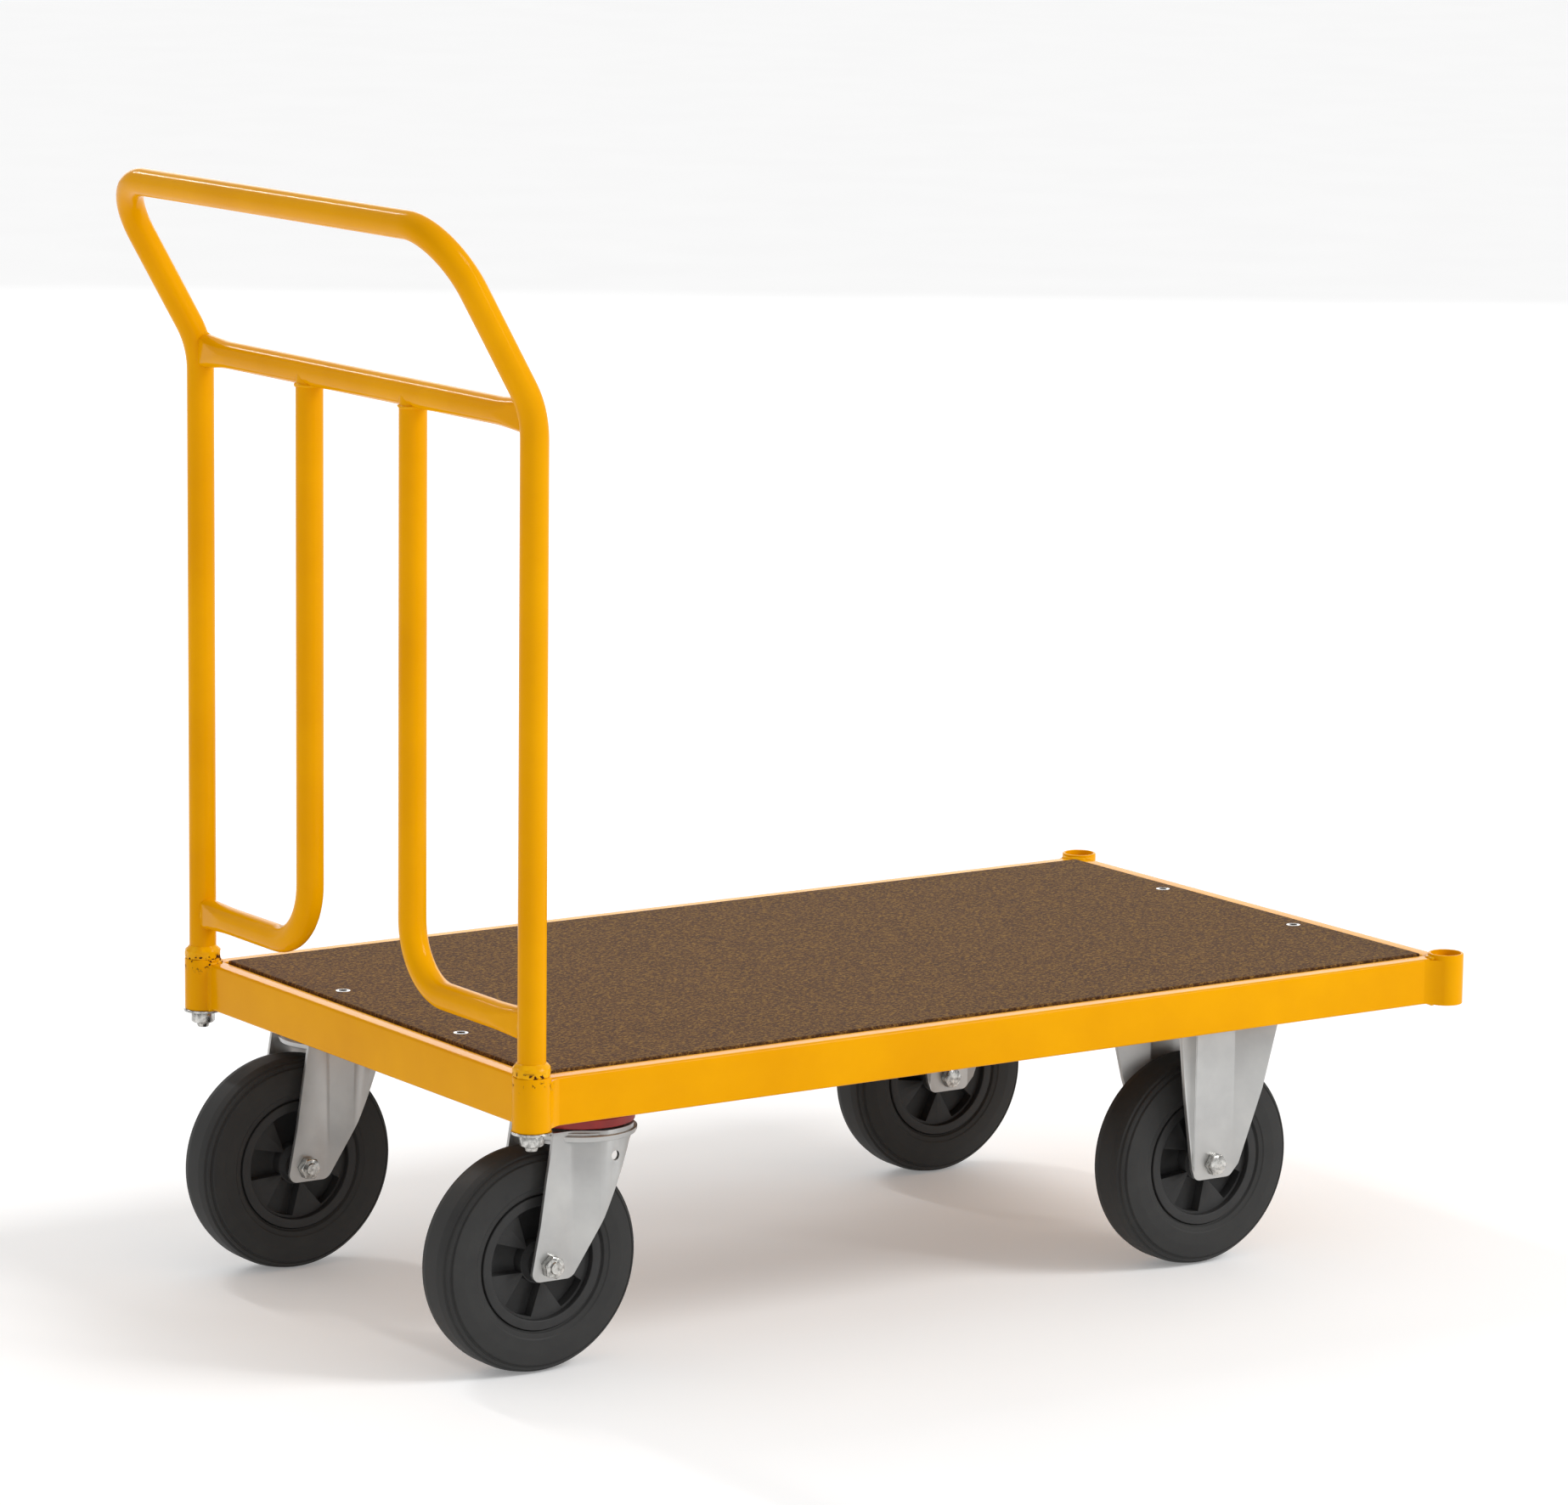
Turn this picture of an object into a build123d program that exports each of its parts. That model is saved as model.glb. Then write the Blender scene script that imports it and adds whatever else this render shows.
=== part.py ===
from build123d import *
import math
import os

# Platform trolley with a fixed push handle, two swivel casters and two fixed casters.
# Frame: +X forwards, away from the handle; +Y to the left; +Z up; the floor is z = 0.
# The origin is the centre of the whole trolley's outline on the floor.

os.makedirs("parts", exist_ok=True)

# ---- corner sockets ----
socket_pitch_x = 1012.0
socket_pitch_y = 580.0
socket_od = 33.7
socket_bore = 28.5
socket_bottom = 235.0
socket_height = 48.0
weld_gap = 0.2
socket_rim_round = 0.8
sliding_gap = 0.05

# ---- rails: rectangular tube with an inward ledge on the long sides ----
rail_width = 18.0
rail_height = 43.0
rail_wall = 2.0
rail_corner = 2.5
rail_top = 279.0
rail_outset = 2.0
ledge_width = 14.0
ledge_thickness = 3.0

# ---- deck ----
deck_top = 281.0
deck_thickness = 12.0
deck_gap = 1.5
deck_edge = 0.8
screw_rear_inset = 42.0
screw_front_inset = 35.0
screw_pitch_y = 207.0
screw_head_r = 6.6
screw_head_depth = 3.6
screw_shank_r = 2.9
screw_sink = 0.1
screw_seat_clearance = 0.1
screw_hole_r = 3.0
screw_end = 236.0
screw_recess_r = 2.3
screw_recess_depth = 2.4

# ---- cross channels: open upwards, bolted to the caster plates ----
channel_width = 40.0
channel_wall = 2.5
front_channel_inset = 40.0
notch_clearance = 0.2

# ---- handle ----
tube_od = 25.0
tube_wall = 2.0
handle_foot = 238.0
handle_bend_z = 855.0
lean_angle = 30.0
lean_length = 180.0
handle_bend_r = 90.0
handle_corner_r = 60.0
crossbar_z = 850.0
stay_offset = 200.0
stay_run_z = 326.0
stay_bend_r = 60.0
flare_length = 46.0
flare_half_width = 8.0
crossbar_flare_half_height = 17.0
stay_flare_half_height = 15.0
collar_r = 17.6
collar_height = 13.0
collar_chamfer = 3.5
plug_height = 24.0
stud_r = 6.0
stud_end = 217.5
stud_chamfer = 1.2
washer_gap = 0.4
washer_r = 18.0
washer_thickness = 2.4
handle_nut_across_flats = 19.0
handle_nut_height = 10.8

# ---- wheels ----
wheel_r = 100.0
tyre_width = 50.0
tyre_inner_r = 61.0
bead_slope = 3.0
tyre_shoulder = 9.0
rim_width = 46.0
rim_inner_r = 51.0
rim_draft = 1.0
web_half = 17.0
pocket_floor_half = 6.0
pocket_inner_r = 19.0
pocket_outer_r = 49.0
pocket_count = 5
pocket_inner_half_angle = 33.0
pocket_outer_half_angle = 17.5
hub_r = 17.5
hub_half = 29.0
bearing_outer_r = 14.0
bearing_half = 26.0
bearing_clearance = 0.07
cage_clearance = 0.6
roller_count = 12
cage_end = 3.0
sleeve_r = 10.0
axle_r = 6.0
axle_hole_r = 6.15
wheel_line_inset = 77.4
swivel_axle_x = 45.9
fixed_axle_x = 773.1

# ---- axle fasteners ----
axle_across_flats = 18.0
axle_head_height = 7.5
axle_nut_height = 8.5
axle_bolt_stickout = 2.2
axle_chamfer = 1.0

# ---- caster plates and their bolts ----
plate_x = 135.0
plate_y = 110.0
plate_thickness = 4.0
plate_top = 240.0
plate_corner_r = 8.0
bolt_pitch_x = 105.0
bolt_pitch_y = 75.0
bolt_hole_r = 5.5
bolt_r = 5.0
bolt_across_flats = 16.0
bolt_head_height = 6.4
bolt_nut_height = 8.4
bolt_washer_r = 10.0
bolt_washer_thickness = 2.0
bolt_end_above_nut = 3.0

# ---- swivel head ----
swivel_offset = 50.0
crown_r = 52.0
crown_top = 219.5
crown_skirt = 208.5
crown_round = 4.0
fork_wall = 3.5
fork_outer = 36.0
crease_x = -28.0
wing_r = 50.0
wing_start_angle = 96.0
wing_middle_angle = 65.0
wing_end_angle = 34.0
lightening_hole_r = 4.4
lightening_hole = (7.8, 194.5)
ring_outer_r = 50.5
ring_inner_r = 45.0
ring_gap = 0.4
ball_r = 5.0
ball_circle_r = 38.0
ball_count = 18
boss_outer_r = 43.5
boss_inner_r = 32.0
running_gap = 0.05
king_r = 8.0
king_head_r = 14.0
king_head_height = 8.0
king_nut_across_flats = 24.0
king_nut_height = 12.5
king_nut_gap = 0.4
king_end = 204.0
king_chamfer = 2.0

# ---- fixed bracket ----
bracket_wall = 3.5
bracket_crease_half = 22.0
bracket_crease_shift = 1.0
wing_slant = 1.2
wing_reach_x = 58.0
wing_reach_y = 57.5

# ---- places worked out from the dimensions above ----
roller_r = (bearing_outer_r - sleeve_r) / 2 - bearing_clearance
tube_r = tube_od / 2
socket_r = socket_od / 2
lean_back = lean_length * math.sin(math.radians(lean_angle))
lean_rise = lean_length * math.cos(math.radians(lean_angle))
rear_reach = lean_back + tube_r
front_reach = socket_pitch_x + socket_r
rear_x = (rear_reach - front_reach) / 2
front_x = rear_x + socket_pitch_x
side_y = socket_pitch_y / 2
rail_mid_z = rail_top - rail_height / 2
rail_centre_inset = rail_width / 2 - rail_outset
rail_inner_inset = rail_width - rail_outset
inner_y = side_y - rail_inner_inset
deck_bottom = deck_top - deck_thickness
king_x = rear_x + swivel_axle_x + swivel_offset
bracket_x = rear_x + fixed_axle_x
wheel_y = side_y - wheel_line_inset
plate_bottom = plate_top - plate_thickness
fork_inner = fork_outer - fork_wall
crown_under = crown_top - fork_wall
stay_y = side_y - stay_offset
channel_top = plate_top + channel_wall
bolt_lines = [
    king_x - bolt_pitch_x / 2,
    king_x + bolt_pitch_x / 2,
    bracket_x - bolt_pitch_x / 2,
    bracket_x + bolt_pitch_x / 2,
]
channel_lines = bolt_lines + [front_x - front_channel_inset]
bolt_rows = [s * (wheel_y + t * bolt_pitch_y / 2) for s in (-1, 1) for t in (-1, 1)]
bolt_places = [(x, y) for x in bolt_lines for y in bolt_rows]
screw_places = [
    (x, s * screw_pitch_y / 2)
    for x in (rear_x + screw_rear_inset, front_x - screw_front_inset)
    for s in (-1, 1)
]


def save(piece, label):
    """Name a finished piece and write it to its own file."""
    piece.label = label
    export_step(piece, f"parts/{label}.step")


def cross_plane(x, y, z):
    """A plane that faces +Y at the given point."""
    return Plane(origin=(x, y, z), x_dir=(1, 0, 0), z_dir=(0, 1, 0))


# ======================= frame =======================
socket_names = {
    "corner_socket_rear_right": (rear_x, -side_y),
    "corner_socket_rear_left": (rear_x, side_y),
    "corner_socket_front_right": (front_x, -side_y),
    "corner_socket_front_left": (front_x, side_y),
}
for label, (x, y) in socket_names.items():
    with BuildPart() as corner_socket:
        with BuildSketch(Plane.XY.offset(socket_bottom)):
            with Locations((x, y)):
                Circle(socket_r)
                Circle(socket_bore / 2, mode=Mode.SUBTRACT)
        extrude(amount=socket_height)
        rims = corner_socket.edges().filter_by(GeomType.CIRCLE)
        fillet(rims.group_by(SortBy.RADIUS)[-1], radius=socket_rim_round)
    save(corner_socket.part, label)


def socket_cutters():
    """Room for the four corner sockets, cut from the rail that is being built."""
    with Locations(*[(x, y, rail_mid_z) for x, y in socket_names.values()]):
        Cylinder(socket_r + weld_gap, 2 * rail_height, mode=Mode.SUBTRACT)


for label, side in (("side_rail_right", -1), ("side_rail_left", 1)):
    rail_y = side * (side_y - rail_centre_inset)
    ledge_y = side * (inner_y - ledge_width / 2)
    start_x = rear_x - rail_outset
    with BuildPart() as side_rail:
        with BuildSketch(Plane(origin=(start_x, rail_y, rail_mid_z), x_dir=(0, 1, 0), z_dir=(1, 0, 0))):
            RectangleRounded(rail_width, rail_height, rail_corner)
            offset(amount=-rail_wall, mode=Mode.SUBTRACT)
        extrude(amount=socket_pitch_x + 2 * rail_outset)
        with Locations(((rear_x + front_x) / 2, ledge_y, deck_bottom - ledge_thickness / 2)):
            Box(
                socket_pitch_x - 2 * (rail_inner_inset + notch_clearance),
                ledge_width,
                ledge_thickness,
            )
        socket_cutters()
    save(side_rail.part, label)

for label, end_x, inward in (("end_rail_rear", rear_x, 1), ("end_rail_front", front_x, -1)):
    rail_x = end_x + inward * rail_centre_inset
    with BuildPart() as end_rail:
        with BuildSketch(cross_plane(rail_x, -(inner_y - weld_gap), rail_mid_z)):
            RectangleRounded(rail_width, rail_height, rail_corner)
            offset(amount=-rail_wall, mode=Mode.SUBTRACT)
        extrude(amount=2 * (inner_y - weld_gap))
        socket_cutters()
    save(end_rail.part, label)

with BuildPart() as cross_channels:
    for x in channel_lines:
        with BuildSketch(cross_plane(x, -(inner_y - weld_gap), plate_top)):
            with Locations((0, -(deck_bottom - plate_top) / 2)):
                Rectangle(channel_width, deck_bottom - plate_top)
            with Locations((0, -(deck_bottom - plate_top) / 2 - channel_wall)):
                Rectangle(
                    channel_width - 2 * channel_wall,
                    deck_bottom - plate_top,
                    mode=Mode.SUBTRACT,
                )
        extrude(amount=2 * (inner_y - weld_gap))
        notch_height = ledge_thickness + notch_clearance
        for side in (-1, 1):
            with Locations((x, side * inner_y, deck_bottom - notch_height / 2)):
                Box(
                    2 * channel_width,
                    2 * (ledge_width + notch_clearance),
                    notch_height,
                    mode=Mode.SUBTRACT,
                )
    with BuildSketch(Plane.XY.offset(plate_top)):
        with Locations(*bolt_places):
            Circle(bolt_hole_r)
        with Locations(*screw_places):
            Circle(screw_hole_r)
    extrude(amount=channel_wall, mode=Mode.SUBTRACT)
save(cross_channels.part, "cross_channels")

# ======================= deck =======================
with BuildPart() as deck_board:
    deck_length = socket_pitch_x - 2 * (rail_inner_inset + deck_gap)
    deck_width = 2 * (inner_y - deck_gap)
    with BuildSketch(Plane.XY.offset(deck_bottom)):
        with Locations(((rear_x + front_x) / 2, 0)):
            Rectangle(deck_length, deck_width)
    extrude(amount=deck_thickness)
    chamfer(deck_board.faces().sort_by(Axis.Z)[-1].edges(), length=deck_edge)
    with Locations(*[(x, y, deck_top) for x, y in screw_places]):
        CounterSinkHole(screw_hole_r, screw_head_r + screw_seat_clearance, counter_sink_angle=90)
save(deck_board.part, "deck_board")

with BuildPart() as deck_screws:
    for x, y in screw_places:
        with BuildSketch(Plane(origin=(x, y, 0), x_dir=(1, 0, 0), z_dir=(0, -1, 0))):
            with BuildLine():
                Polyline(
                    (0, screw_end),
                    (screw_shank_r, screw_end),
                    (screw_shank_r, deck_top - screw_head_depth),
                    (screw_head_r, deck_top - screw_sink),
                    (screw_recess_r, deck_top - screw_sink),
                    (screw_recess_r, deck_top - screw_recess_depth),
                    (0, deck_top - screw_recess_depth),
                    close=True,
                )
            make_face()
        revolve(axis=Axis((x, y, 0), (0, 0, 1)))
save(deck_screws.part, "deck_screws")

# ======================= handle =======================
top_x = rear_x - lean_back
top_z = handle_bend_z + lean_rise
handle_points = [
    (rear_x, -side_y, handle_foot),
    (rear_x, -side_y, handle_bend_z),
    (top_x, -side_y, top_z),
    (top_x, side_y, top_z),
    (rear_x, side_y, handle_bend_z),
    (rear_x, side_y, handle_foot),
]
handle_radii = [handle_bend_r, handle_corner_r, handle_corner_r, handle_bend_r]

with BuildPart() as handle_tube:
    with BuildLine():
        FilletPolyline(*handle_points, radius=handle_radii)
    with BuildSketch(Plane(origin=handle_points[0])):
        Circle(tube_r)
        Circle(tube_r - tube_wall, mode=Mode.SUBTRACT)
    sweep()
save(handle_tube.part, "handle_tube")

# the handle's outside as one filled bar, used to cope the tubes welded to it
with BuildPart() as handle_outside:
    with BuildLine():
        FilletPolyline(*handle_points, radius=handle_radii)
    with BuildSketch(Plane(origin=handle_points[0])):
        Circle(tube_r + weld_gap)
    sweep()


def flare_sections(y_round, y_flat, z, half_height, inset):
    """The round and the tall flat section that a flared tube end is lofted between."""
    with BuildSketch(cross_plane(rear_x, y_round, z)) as round_section:
        Circle(tube_r - inset)
    with BuildSketch(cross_plane(rear_x, y_flat, z)) as flat_section:
        Ellipse(flare_half_width - inset, half_height - inset)
    return [round_section.sketch.face(), flat_section.sketch.face()]


with BuildPart() as handle_crossbar:
    round_y = side_y - flare_length
    for inset, mode in ((0, Mode.ADD), (tube_wall, Mode.SUBTRACT)):
        with BuildSketch(cross_plane(rear_x, -round_y, crossbar_z)):
            Circle(tube_r - inset)
        extrude(amount=2 * round_y, mode=mode)
        for side in (-1, 1):
            loft(
                flare_sections(
                    side * round_y, side * side_y, crossbar_z, crossbar_flare_half_height, inset
                ),
                mode=mode,
            )
    add(handle_outside.part, mode=Mode.SUBTRACT)
save(handle_crossbar.part, "handle_crossbar")

for label, side in (("stay_tube_right", -1), ("stay_tube_left", 1)):
    round_y = side_y - flare_length
    stay_path = [
        (rear_x, side * stay_y, crossbar_z),
        (rear_x, side * stay_y, stay_run_z),
        (rear_x, side * round_y, stay_run_z),
    ]
    with BuildPart() as stay_tube:
        for inset, mode in ((0, Mode.ADD), (tube_wall, Mode.SUBTRACT)):
            with BuildLine():
                FilletPolyline(*stay_path, radius=stay_bend_r)
            with BuildSketch(Plane(origin=stay_path[0], z_dir=(0, 0, -1))):
                Circle(tube_r - inset)
            sweep(mode=mode)
            loft(
                flare_sections(
                    side * round_y, side * side_y, stay_run_z, stay_flare_half_height, inset
                ),
                mode=mode,
            )
        with Locations((rear_x, side * stay_y, crossbar_z)):
            Cylinder(tube_r + weld_gap, 4 * tube_r, rotation=(90, 0, 0), mode=Mode.SUBTRACT)
            Box(4 * tube_r, 4 * tube_r, 2 * tube_r, align=(Align.CENTER, Align.CENTER, Align.MIN),
                mode=Mode.SUBTRACT)
        add(handle_outside.part, mode=Mode.SUBTRACT)
    save(stay_tube.part, label)

socket_top = socket_bottom + socket_height
foot_places = [(rear_x, -side_y), (rear_x, side_y)]

with BuildPart() as handle_collars:
    with BuildSketch(Plane.XY.offset(socket_top)):
        with Locations(*foot_places):
            Circle(collar_r)
            Circle(tube_r + sliding_gap, mode=Mode.SUBTRACT)
    extrude(amount=collar_height)
    top_rims = handle_collars.edges().filter_by(GeomType.CIRCLE).group_by(Axis.Z)[-1]
    chamfer(top_rims.sort_by(SortBy.RADIUS)[-2:], length=collar_chamfer)
save(handle_collars.part, "handle_collars")

with BuildPart() as handle_studs:
    with BuildSketch(Plane.XY.offset(handle_foot)):
        with Locations(*foot_places):
            Circle(tube_r - tube_wall - sliding_gap)
    extrude(amount=plug_height)
    with BuildSketch(Plane.XY.offset(stud_end)):
        with Locations(*foot_places):
            Circle(stud_r)
    extrude(amount=handle_foot - stud_end)
    chamfer(handle_studs.edges().group_by(Axis.Z)[0], length=stud_chamfer)
save(handle_studs.part, "handle_studs")

with BuildPart() as handle_washers:
    with BuildSketch(Plane.XY.offset(socket_bottom - washer_thickness)):
        with Locations(*foot_places):
            Circle(washer_r)
            Circle(stud_r + washer_gap, mode=Mode.SUBTRACT)
    extrude(amount=washer_thickness)
save(handle_washers.part, "handle_washers")


def hexagon_radius(across_flats):
    """Corner radius of a hexagon."""
    return across_flats / math.sqrt(3)


with BuildPart() as handle_nuts:
    with BuildSketch(Plane.XY.offset(socket_bottom - washer_thickness - handle_nut_height)):
        with Locations(*foot_places):
            RegularPolygon(hexagon_radius(handle_nut_across_flats), 6)
            Circle(stud_r + sliding_gap, mode=Mode.SUBTRACT)
    extrude(amount=handle_nut_height)
save(handle_nuts.part, "handle_nuts")

# ======================= caster bolts =======================
with BuildPart() as caster_bolts:
    with BuildSketch(Plane.XY.offset(plate_bottom - bolt_head_height)):
        with Locations(*bolt_places):
            RegularPolygon(hexagon_radius(bolt_across_flats), 6)
    extrude(amount=bolt_head_height)
    bolt_top = channel_top + bolt_washer_thickness + bolt_nut_height + bolt_end_above_nut
    with BuildSketch(Plane.XY.offset(plate_bottom)):
        with Locations(*bolt_places):
            Circle(bolt_r)
    extrude(amount=bolt_top - plate_bottom)
save(caster_bolts.part, "caster_bolts")

with BuildPart() as caster_washers:
    with BuildSketch(Plane.XY.offset(channel_top)):
        with Locations(*bolt_places):
            Circle(bolt_washer_r)
            Circle(bolt_hole_r, mode=Mode.SUBTRACT)
    extrude(amount=bolt_washer_thickness)
save(caster_washers.part, "caster_washers")

with BuildPart() as caster_nuts:
    with BuildSketch(Plane.XY.offset(channel_top + bolt_washer_thickness)):
        with Locations(*bolt_places):
            RegularPolygon(hexagon_radius(bolt_across_flats), 6)
            Circle(bolt_r + sliding_gap, mode=Mode.SUBTRACT)
    extrude(amount=bolt_nut_height)
save(caster_nuts.part, "caster_nuts")


# ======================= wheel pieces, axis along Y through the origin =======================
def half_section(points):
    """Face with the given (radius, axial) corners, to be turned round the Y axis."""
    with BuildSketch(Plane.XY) as section:
        with BuildLine():
            Polyline(*points, close=True)
        make_face()
    return section.sketch


tyre_half = tyre_width / 2
rim_half = rim_width / 2
with BuildPart() as tyre:
    with BuildSketch(Plane.XY):
        with BuildLine():
            Polyline(
                (tyre_inner_r, -rim_half),
                (tyre_inner_r + bead_slope, -tyre_half),
                (wheel_r - tyre_shoulder, -tyre_half),
            )
            ThreePointArc(
                (wheel_r - tyre_shoulder, -tyre_half),
                (wheel_r, 0),
                (wheel_r - tyre_shoulder, tyre_half),
            )
            Polyline(
                (wheel_r - tyre_shoulder, tyre_half),
                (tyre_inner_r + bead_slope, tyre_half),
                (tyre_inner_r, rim_half),
                (tyre_inner_r, -rim_half),
            )
        make_face()
    revolve(axis=Axis.Y)

with BuildPart() as rim:
    revolve(half_section([
        (bearing_outer_r, -hub_half),
        (hub_r, -hub_half),
        (hub_r + rim_draft, -web_half),
        (rim_inner_r, -web_half),
        (rim_inner_r + rim_draft, -rim_half),
        (tyre_inner_r, -rim_half),
        (tyre_inner_r, rim_half),
        (rim_inner_r + rim_draft, rim_half),
        (rim_inner_r, web_half),
        (hub_r + rim_draft, web_half),
        (hub_r, hub_half),
        (bearing_outer_r, hub_half),
    ]), axis=Axis.Y)
    for side in (-1, 1):
        with BuildSketch(cross_plane(0, side * pocket_floor_half, 0)):
            with PolarLocations(0, pocket_count):
                with BuildLine():
                    a, b = pocket_inner_half_angle, pocket_outer_half_angle
                    inner = CenterArc((0, 0), pocket_inner_r, -a, 2 * a)
                    outer = CenterArc((0, 0), pocket_outer_r, -b, 2 * b)
                    Line(inner @ 0, outer @ 0)
                    Line(inner @ 1, outer @ 1)
                make_face()
        extrude(amount=side * (web_half - pocket_floor_half), mode=Mode.SUBTRACT)

with BuildPart() as roller_bearing:
    cage_inner = sleeve_r + cage_clearance
    cage_outer = bearing_outer_r - cage_clearance
    roller_half = bearing_half - cage_end
    with BuildSketch(cross_plane(0, -bearing_half, 0)):
        Circle(cage_outer)
        Circle(cage_inner, mode=Mode.SUBTRACT)
    extrude(amount=2 * bearing_half)
    with BuildSketch(cross_plane(0, -roller_half, 0)):
        with PolarLocations((cage_inner + cage_outer) / 2, roller_count):
            Circle(roller_r + bearing_clearance)
    extrude(amount=2 * roller_half, mode=Mode.SUBTRACT)
    with BuildSketch(cross_plane(0, -roller_half + bearing_clearance, 0)):
        with PolarLocations((cage_inner + cage_outer) / 2, roller_count):
            Circle(roller_r)
    extrude(amount=2 * (roller_half - bearing_clearance))

with BuildPart() as axle_sleeve:
    revolve(half_section([
        (axle_r + sliding_gap, -fork_inner),
        (sleeve_r, -fork_inner),
        (sleeve_r, fork_inner),
        (axle_r + sliding_gap, fork_inner),
    ]), axis=Axis.Y)


def axle_bolt_part(head_side):
    """Hexagon head bolt along Y; head_side is -1 or 1, the side that its head is on."""
    end = fork_outer + axle_nut_height + axle_bolt_stickout
    with BuildPart() as axle_bolt:
        with BuildSketch(cross_plane(0, head_side * fork_outer, 0)):
            RegularPolygon(hexagon_radius(axle_across_flats), 6)
        extrude(amount=head_side * axle_head_height)
        with BuildSketch(cross_plane(0, head_side * fork_outer, 0)):
            Circle(axle_r)
        extrude(amount=-head_side * (fork_outer + end))
        tip = axle_bolt.edges().filter_by(GeomType.CIRCLE).sort_by(Axis.Y)
        chamfer(tip[0] if head_side > 0 else tip[-1], length=axle_chamfer)
    return axle_bolt.part


def axle_nut_part(nut_side):
    """Hexagon nut along Y; nut_side is -1 or 1."""
    with BuildPart() as axle_nut:
        with BuildSketch(cross_plane(0, nut_side * fork_outer, 0)):
            RegularPolygon(hexagon_radius(axle_across_flats), 6)
            Circle(axle_r + sliding_gap, mode=Mode.SUBTRACT)
        extrude(amount=nut_side * axle_nut_height)
    return axle_nut.part


# ======================= swivel head, king bolt axis at the origin =======================
def at_angle(radius, degrees):
    """Point on a circle round the origin."""
    return (radius * math.cos(math.radians(degrees)), radius * math.sin(math.radians(degrees)))


fork_front_x = -swivel_offset - 24.0
wall_foot = 80.0
wall_overlap = 2.0
crease_shift = 1.5
wing_inner_r = wing_r - fork_wall
# side view of a fork leg: x from the king bolt, z from the floor
fork_side = [
    (-70.0, 86.5),
    (-60.0, 137.0),
    (-54.5, 174.0),
    (-48.0, 213.0),
    (-47.0, 220.0),
    (38.0, 220.0),
    (34.2, 215.0),
    (26.0, 205.0),
    (-28.0, 86.5),
]
fork_foot_r = 8.0


def side_view(points):
    """Sketch on the XZ plane with its two lowest corners rounded."""
    with BuildSketch(Plane.XZ) as view:
        with BuildLine():
            Polyline(*points, close=True)
        make_face()
        fillet(view.vertices().group_by(Axis.Y)[0], radius=fork_foot_r)
    return view.sketch


with BuildPart() as fork:
    # the two walls in plan: flat beside the wheel, then winged out to the crown
    for side in (-1, 1):
        with BuildSketch(Plane.XY.offset(wall_foot)):
            with BuildLine():
                wing_outer = ThreePointArc(
                    *[
                        (at_angle(wing_r, a)[0], side * at_angle(wing_r, a)[1])
                        for a in (wing_start_angle, wing_middle_angle, wing_end_angle)
                    ]
                )
                wing_inner = ThreePointArc(
                    *[
                        (at_angle(wing_inner_r, a)[0], side * at_angle(wing_inner_r, a)[1])
                        for a in (wing_start_angle, wing_middle_angle, wing_end_angle)
                    ]
                )
                Polyline(
                    wing_outer @ 0,
                    (crease_x, side * fork_outer),
                    (fork_front_x, side * fork_outer),
                    (fork_front_x, side * fork_inner),
                    (crease_x + crease_shift, side * fork_inner),
                    wing_inner @ 0,
                )
                Line(wing_outer @ 1, wing_inner @ 1)
            make_face()
        extrude(amount=crown_under + wall_overlap - wall_foot)
    extrude(side_view(fork_side), amount=2 * crown_r, both=True, mode=Mode.INTERSECT)
    with BuildSketch(Plane.XZ):
        with Locations((-swivel_offset, wheel_r)):
            Circle(axle_hole_r)
        with Locations(lightening_hole):
            Circle(lightening_hole_r)
    extrude(amount=2 * crown_r, both=True, mode=Mode.SUBTRACT)
    # the crown: a shallow round cap on top of the walls
    with BuildSketch(Plane.XZ):
        with BuildLine():
            Polyline(
                (king_r + running_gap, crown_under),
                (crown_r - fork_wall, crown_under),
                (crown_r - fork_wall, crown_skirt),
                (crown_r, crown_skirt),
                (crown_r, crown_top - crown_round),
            )
            ThreePointArc(
                (crown_r, crown_top - crown_round),
                (
                    crown_r - crown_round * (1 - math.cos(math.pi / 4)),
                    crown_top - crown_round * (1 - math.sin(math.pi / 4)),
                ),
                (crown_r - crown_round, crown_top),
            )
            Polyline(
                (crown_r - crown_round, crown_top),
                (king_r + running_gap, crown_top),
                (king_r + running_gap, crown_under),
            )
        make_face()
    revolve(axis=Axis.Z)


with BuildSketch(Plane.XY.offset(plate_bottom)) as plate_outline:
    RectangleRounded(plate_x, plate_y, plate_corner_r)
    with GridLocations(bolt_pitch_x, bolt_pitch_y, 2, 2):
        Circle(bolt_hole_r, mode=Mode.SUBTRACT)


with BuildPart() as top_plate:
    extrude(plate_outline.sketch, amount=plate_thickness)
    with BuildSketch(Plane.XY.offset(plate_bottom)):
        Circle(king_r + running_gap)
    extrude(amount=plate_thickness, mode=Mode.SUBTRACT)
    boss_height = plate_bottom - crown_top - 2 * ball_r - 2 * running_gap
    with BuildSketch(Plane.XY.offset(plate_bottom - boss_height)):
        Circle(boss_outer_r)
        Circle(boss_inner_r, mode=Mode.SUBTRACT)
    extrude(amount=boss_height)

with BuildPart() as dust_ring:
    with BuildSketch(Plane.XY.offset(crown_top + ring_gap)):
        Circle(ring_outer_r)
        Circle(ring_inner_r, mode=Mode.SUBTRACT)
    extrude(amount=plate_bottom - crown_top - ring_gap)

with BuildPart() as swivel_balls:
    with Locations((0, 0, crown_top + running_gap + ball_r)):
        with PolarLocations(ball_circle_r, ball_count):
            Sphere(ball_r)

with BuildPart() as king_bolt:
    with BuildSketch(Plane.XY.offset(king_end)):
        Circle(king_r)
    extrude(amount=plate_top - king_end)
    with BuildSketch(Plane.XY.offset(plate_top)):
        Circle(king_head_r)
    extrude(amount=king_head_height)
    chamfer(king_bolt.edges().group_by(Axis.Z)[-1], length=king_chamfer)

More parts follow.
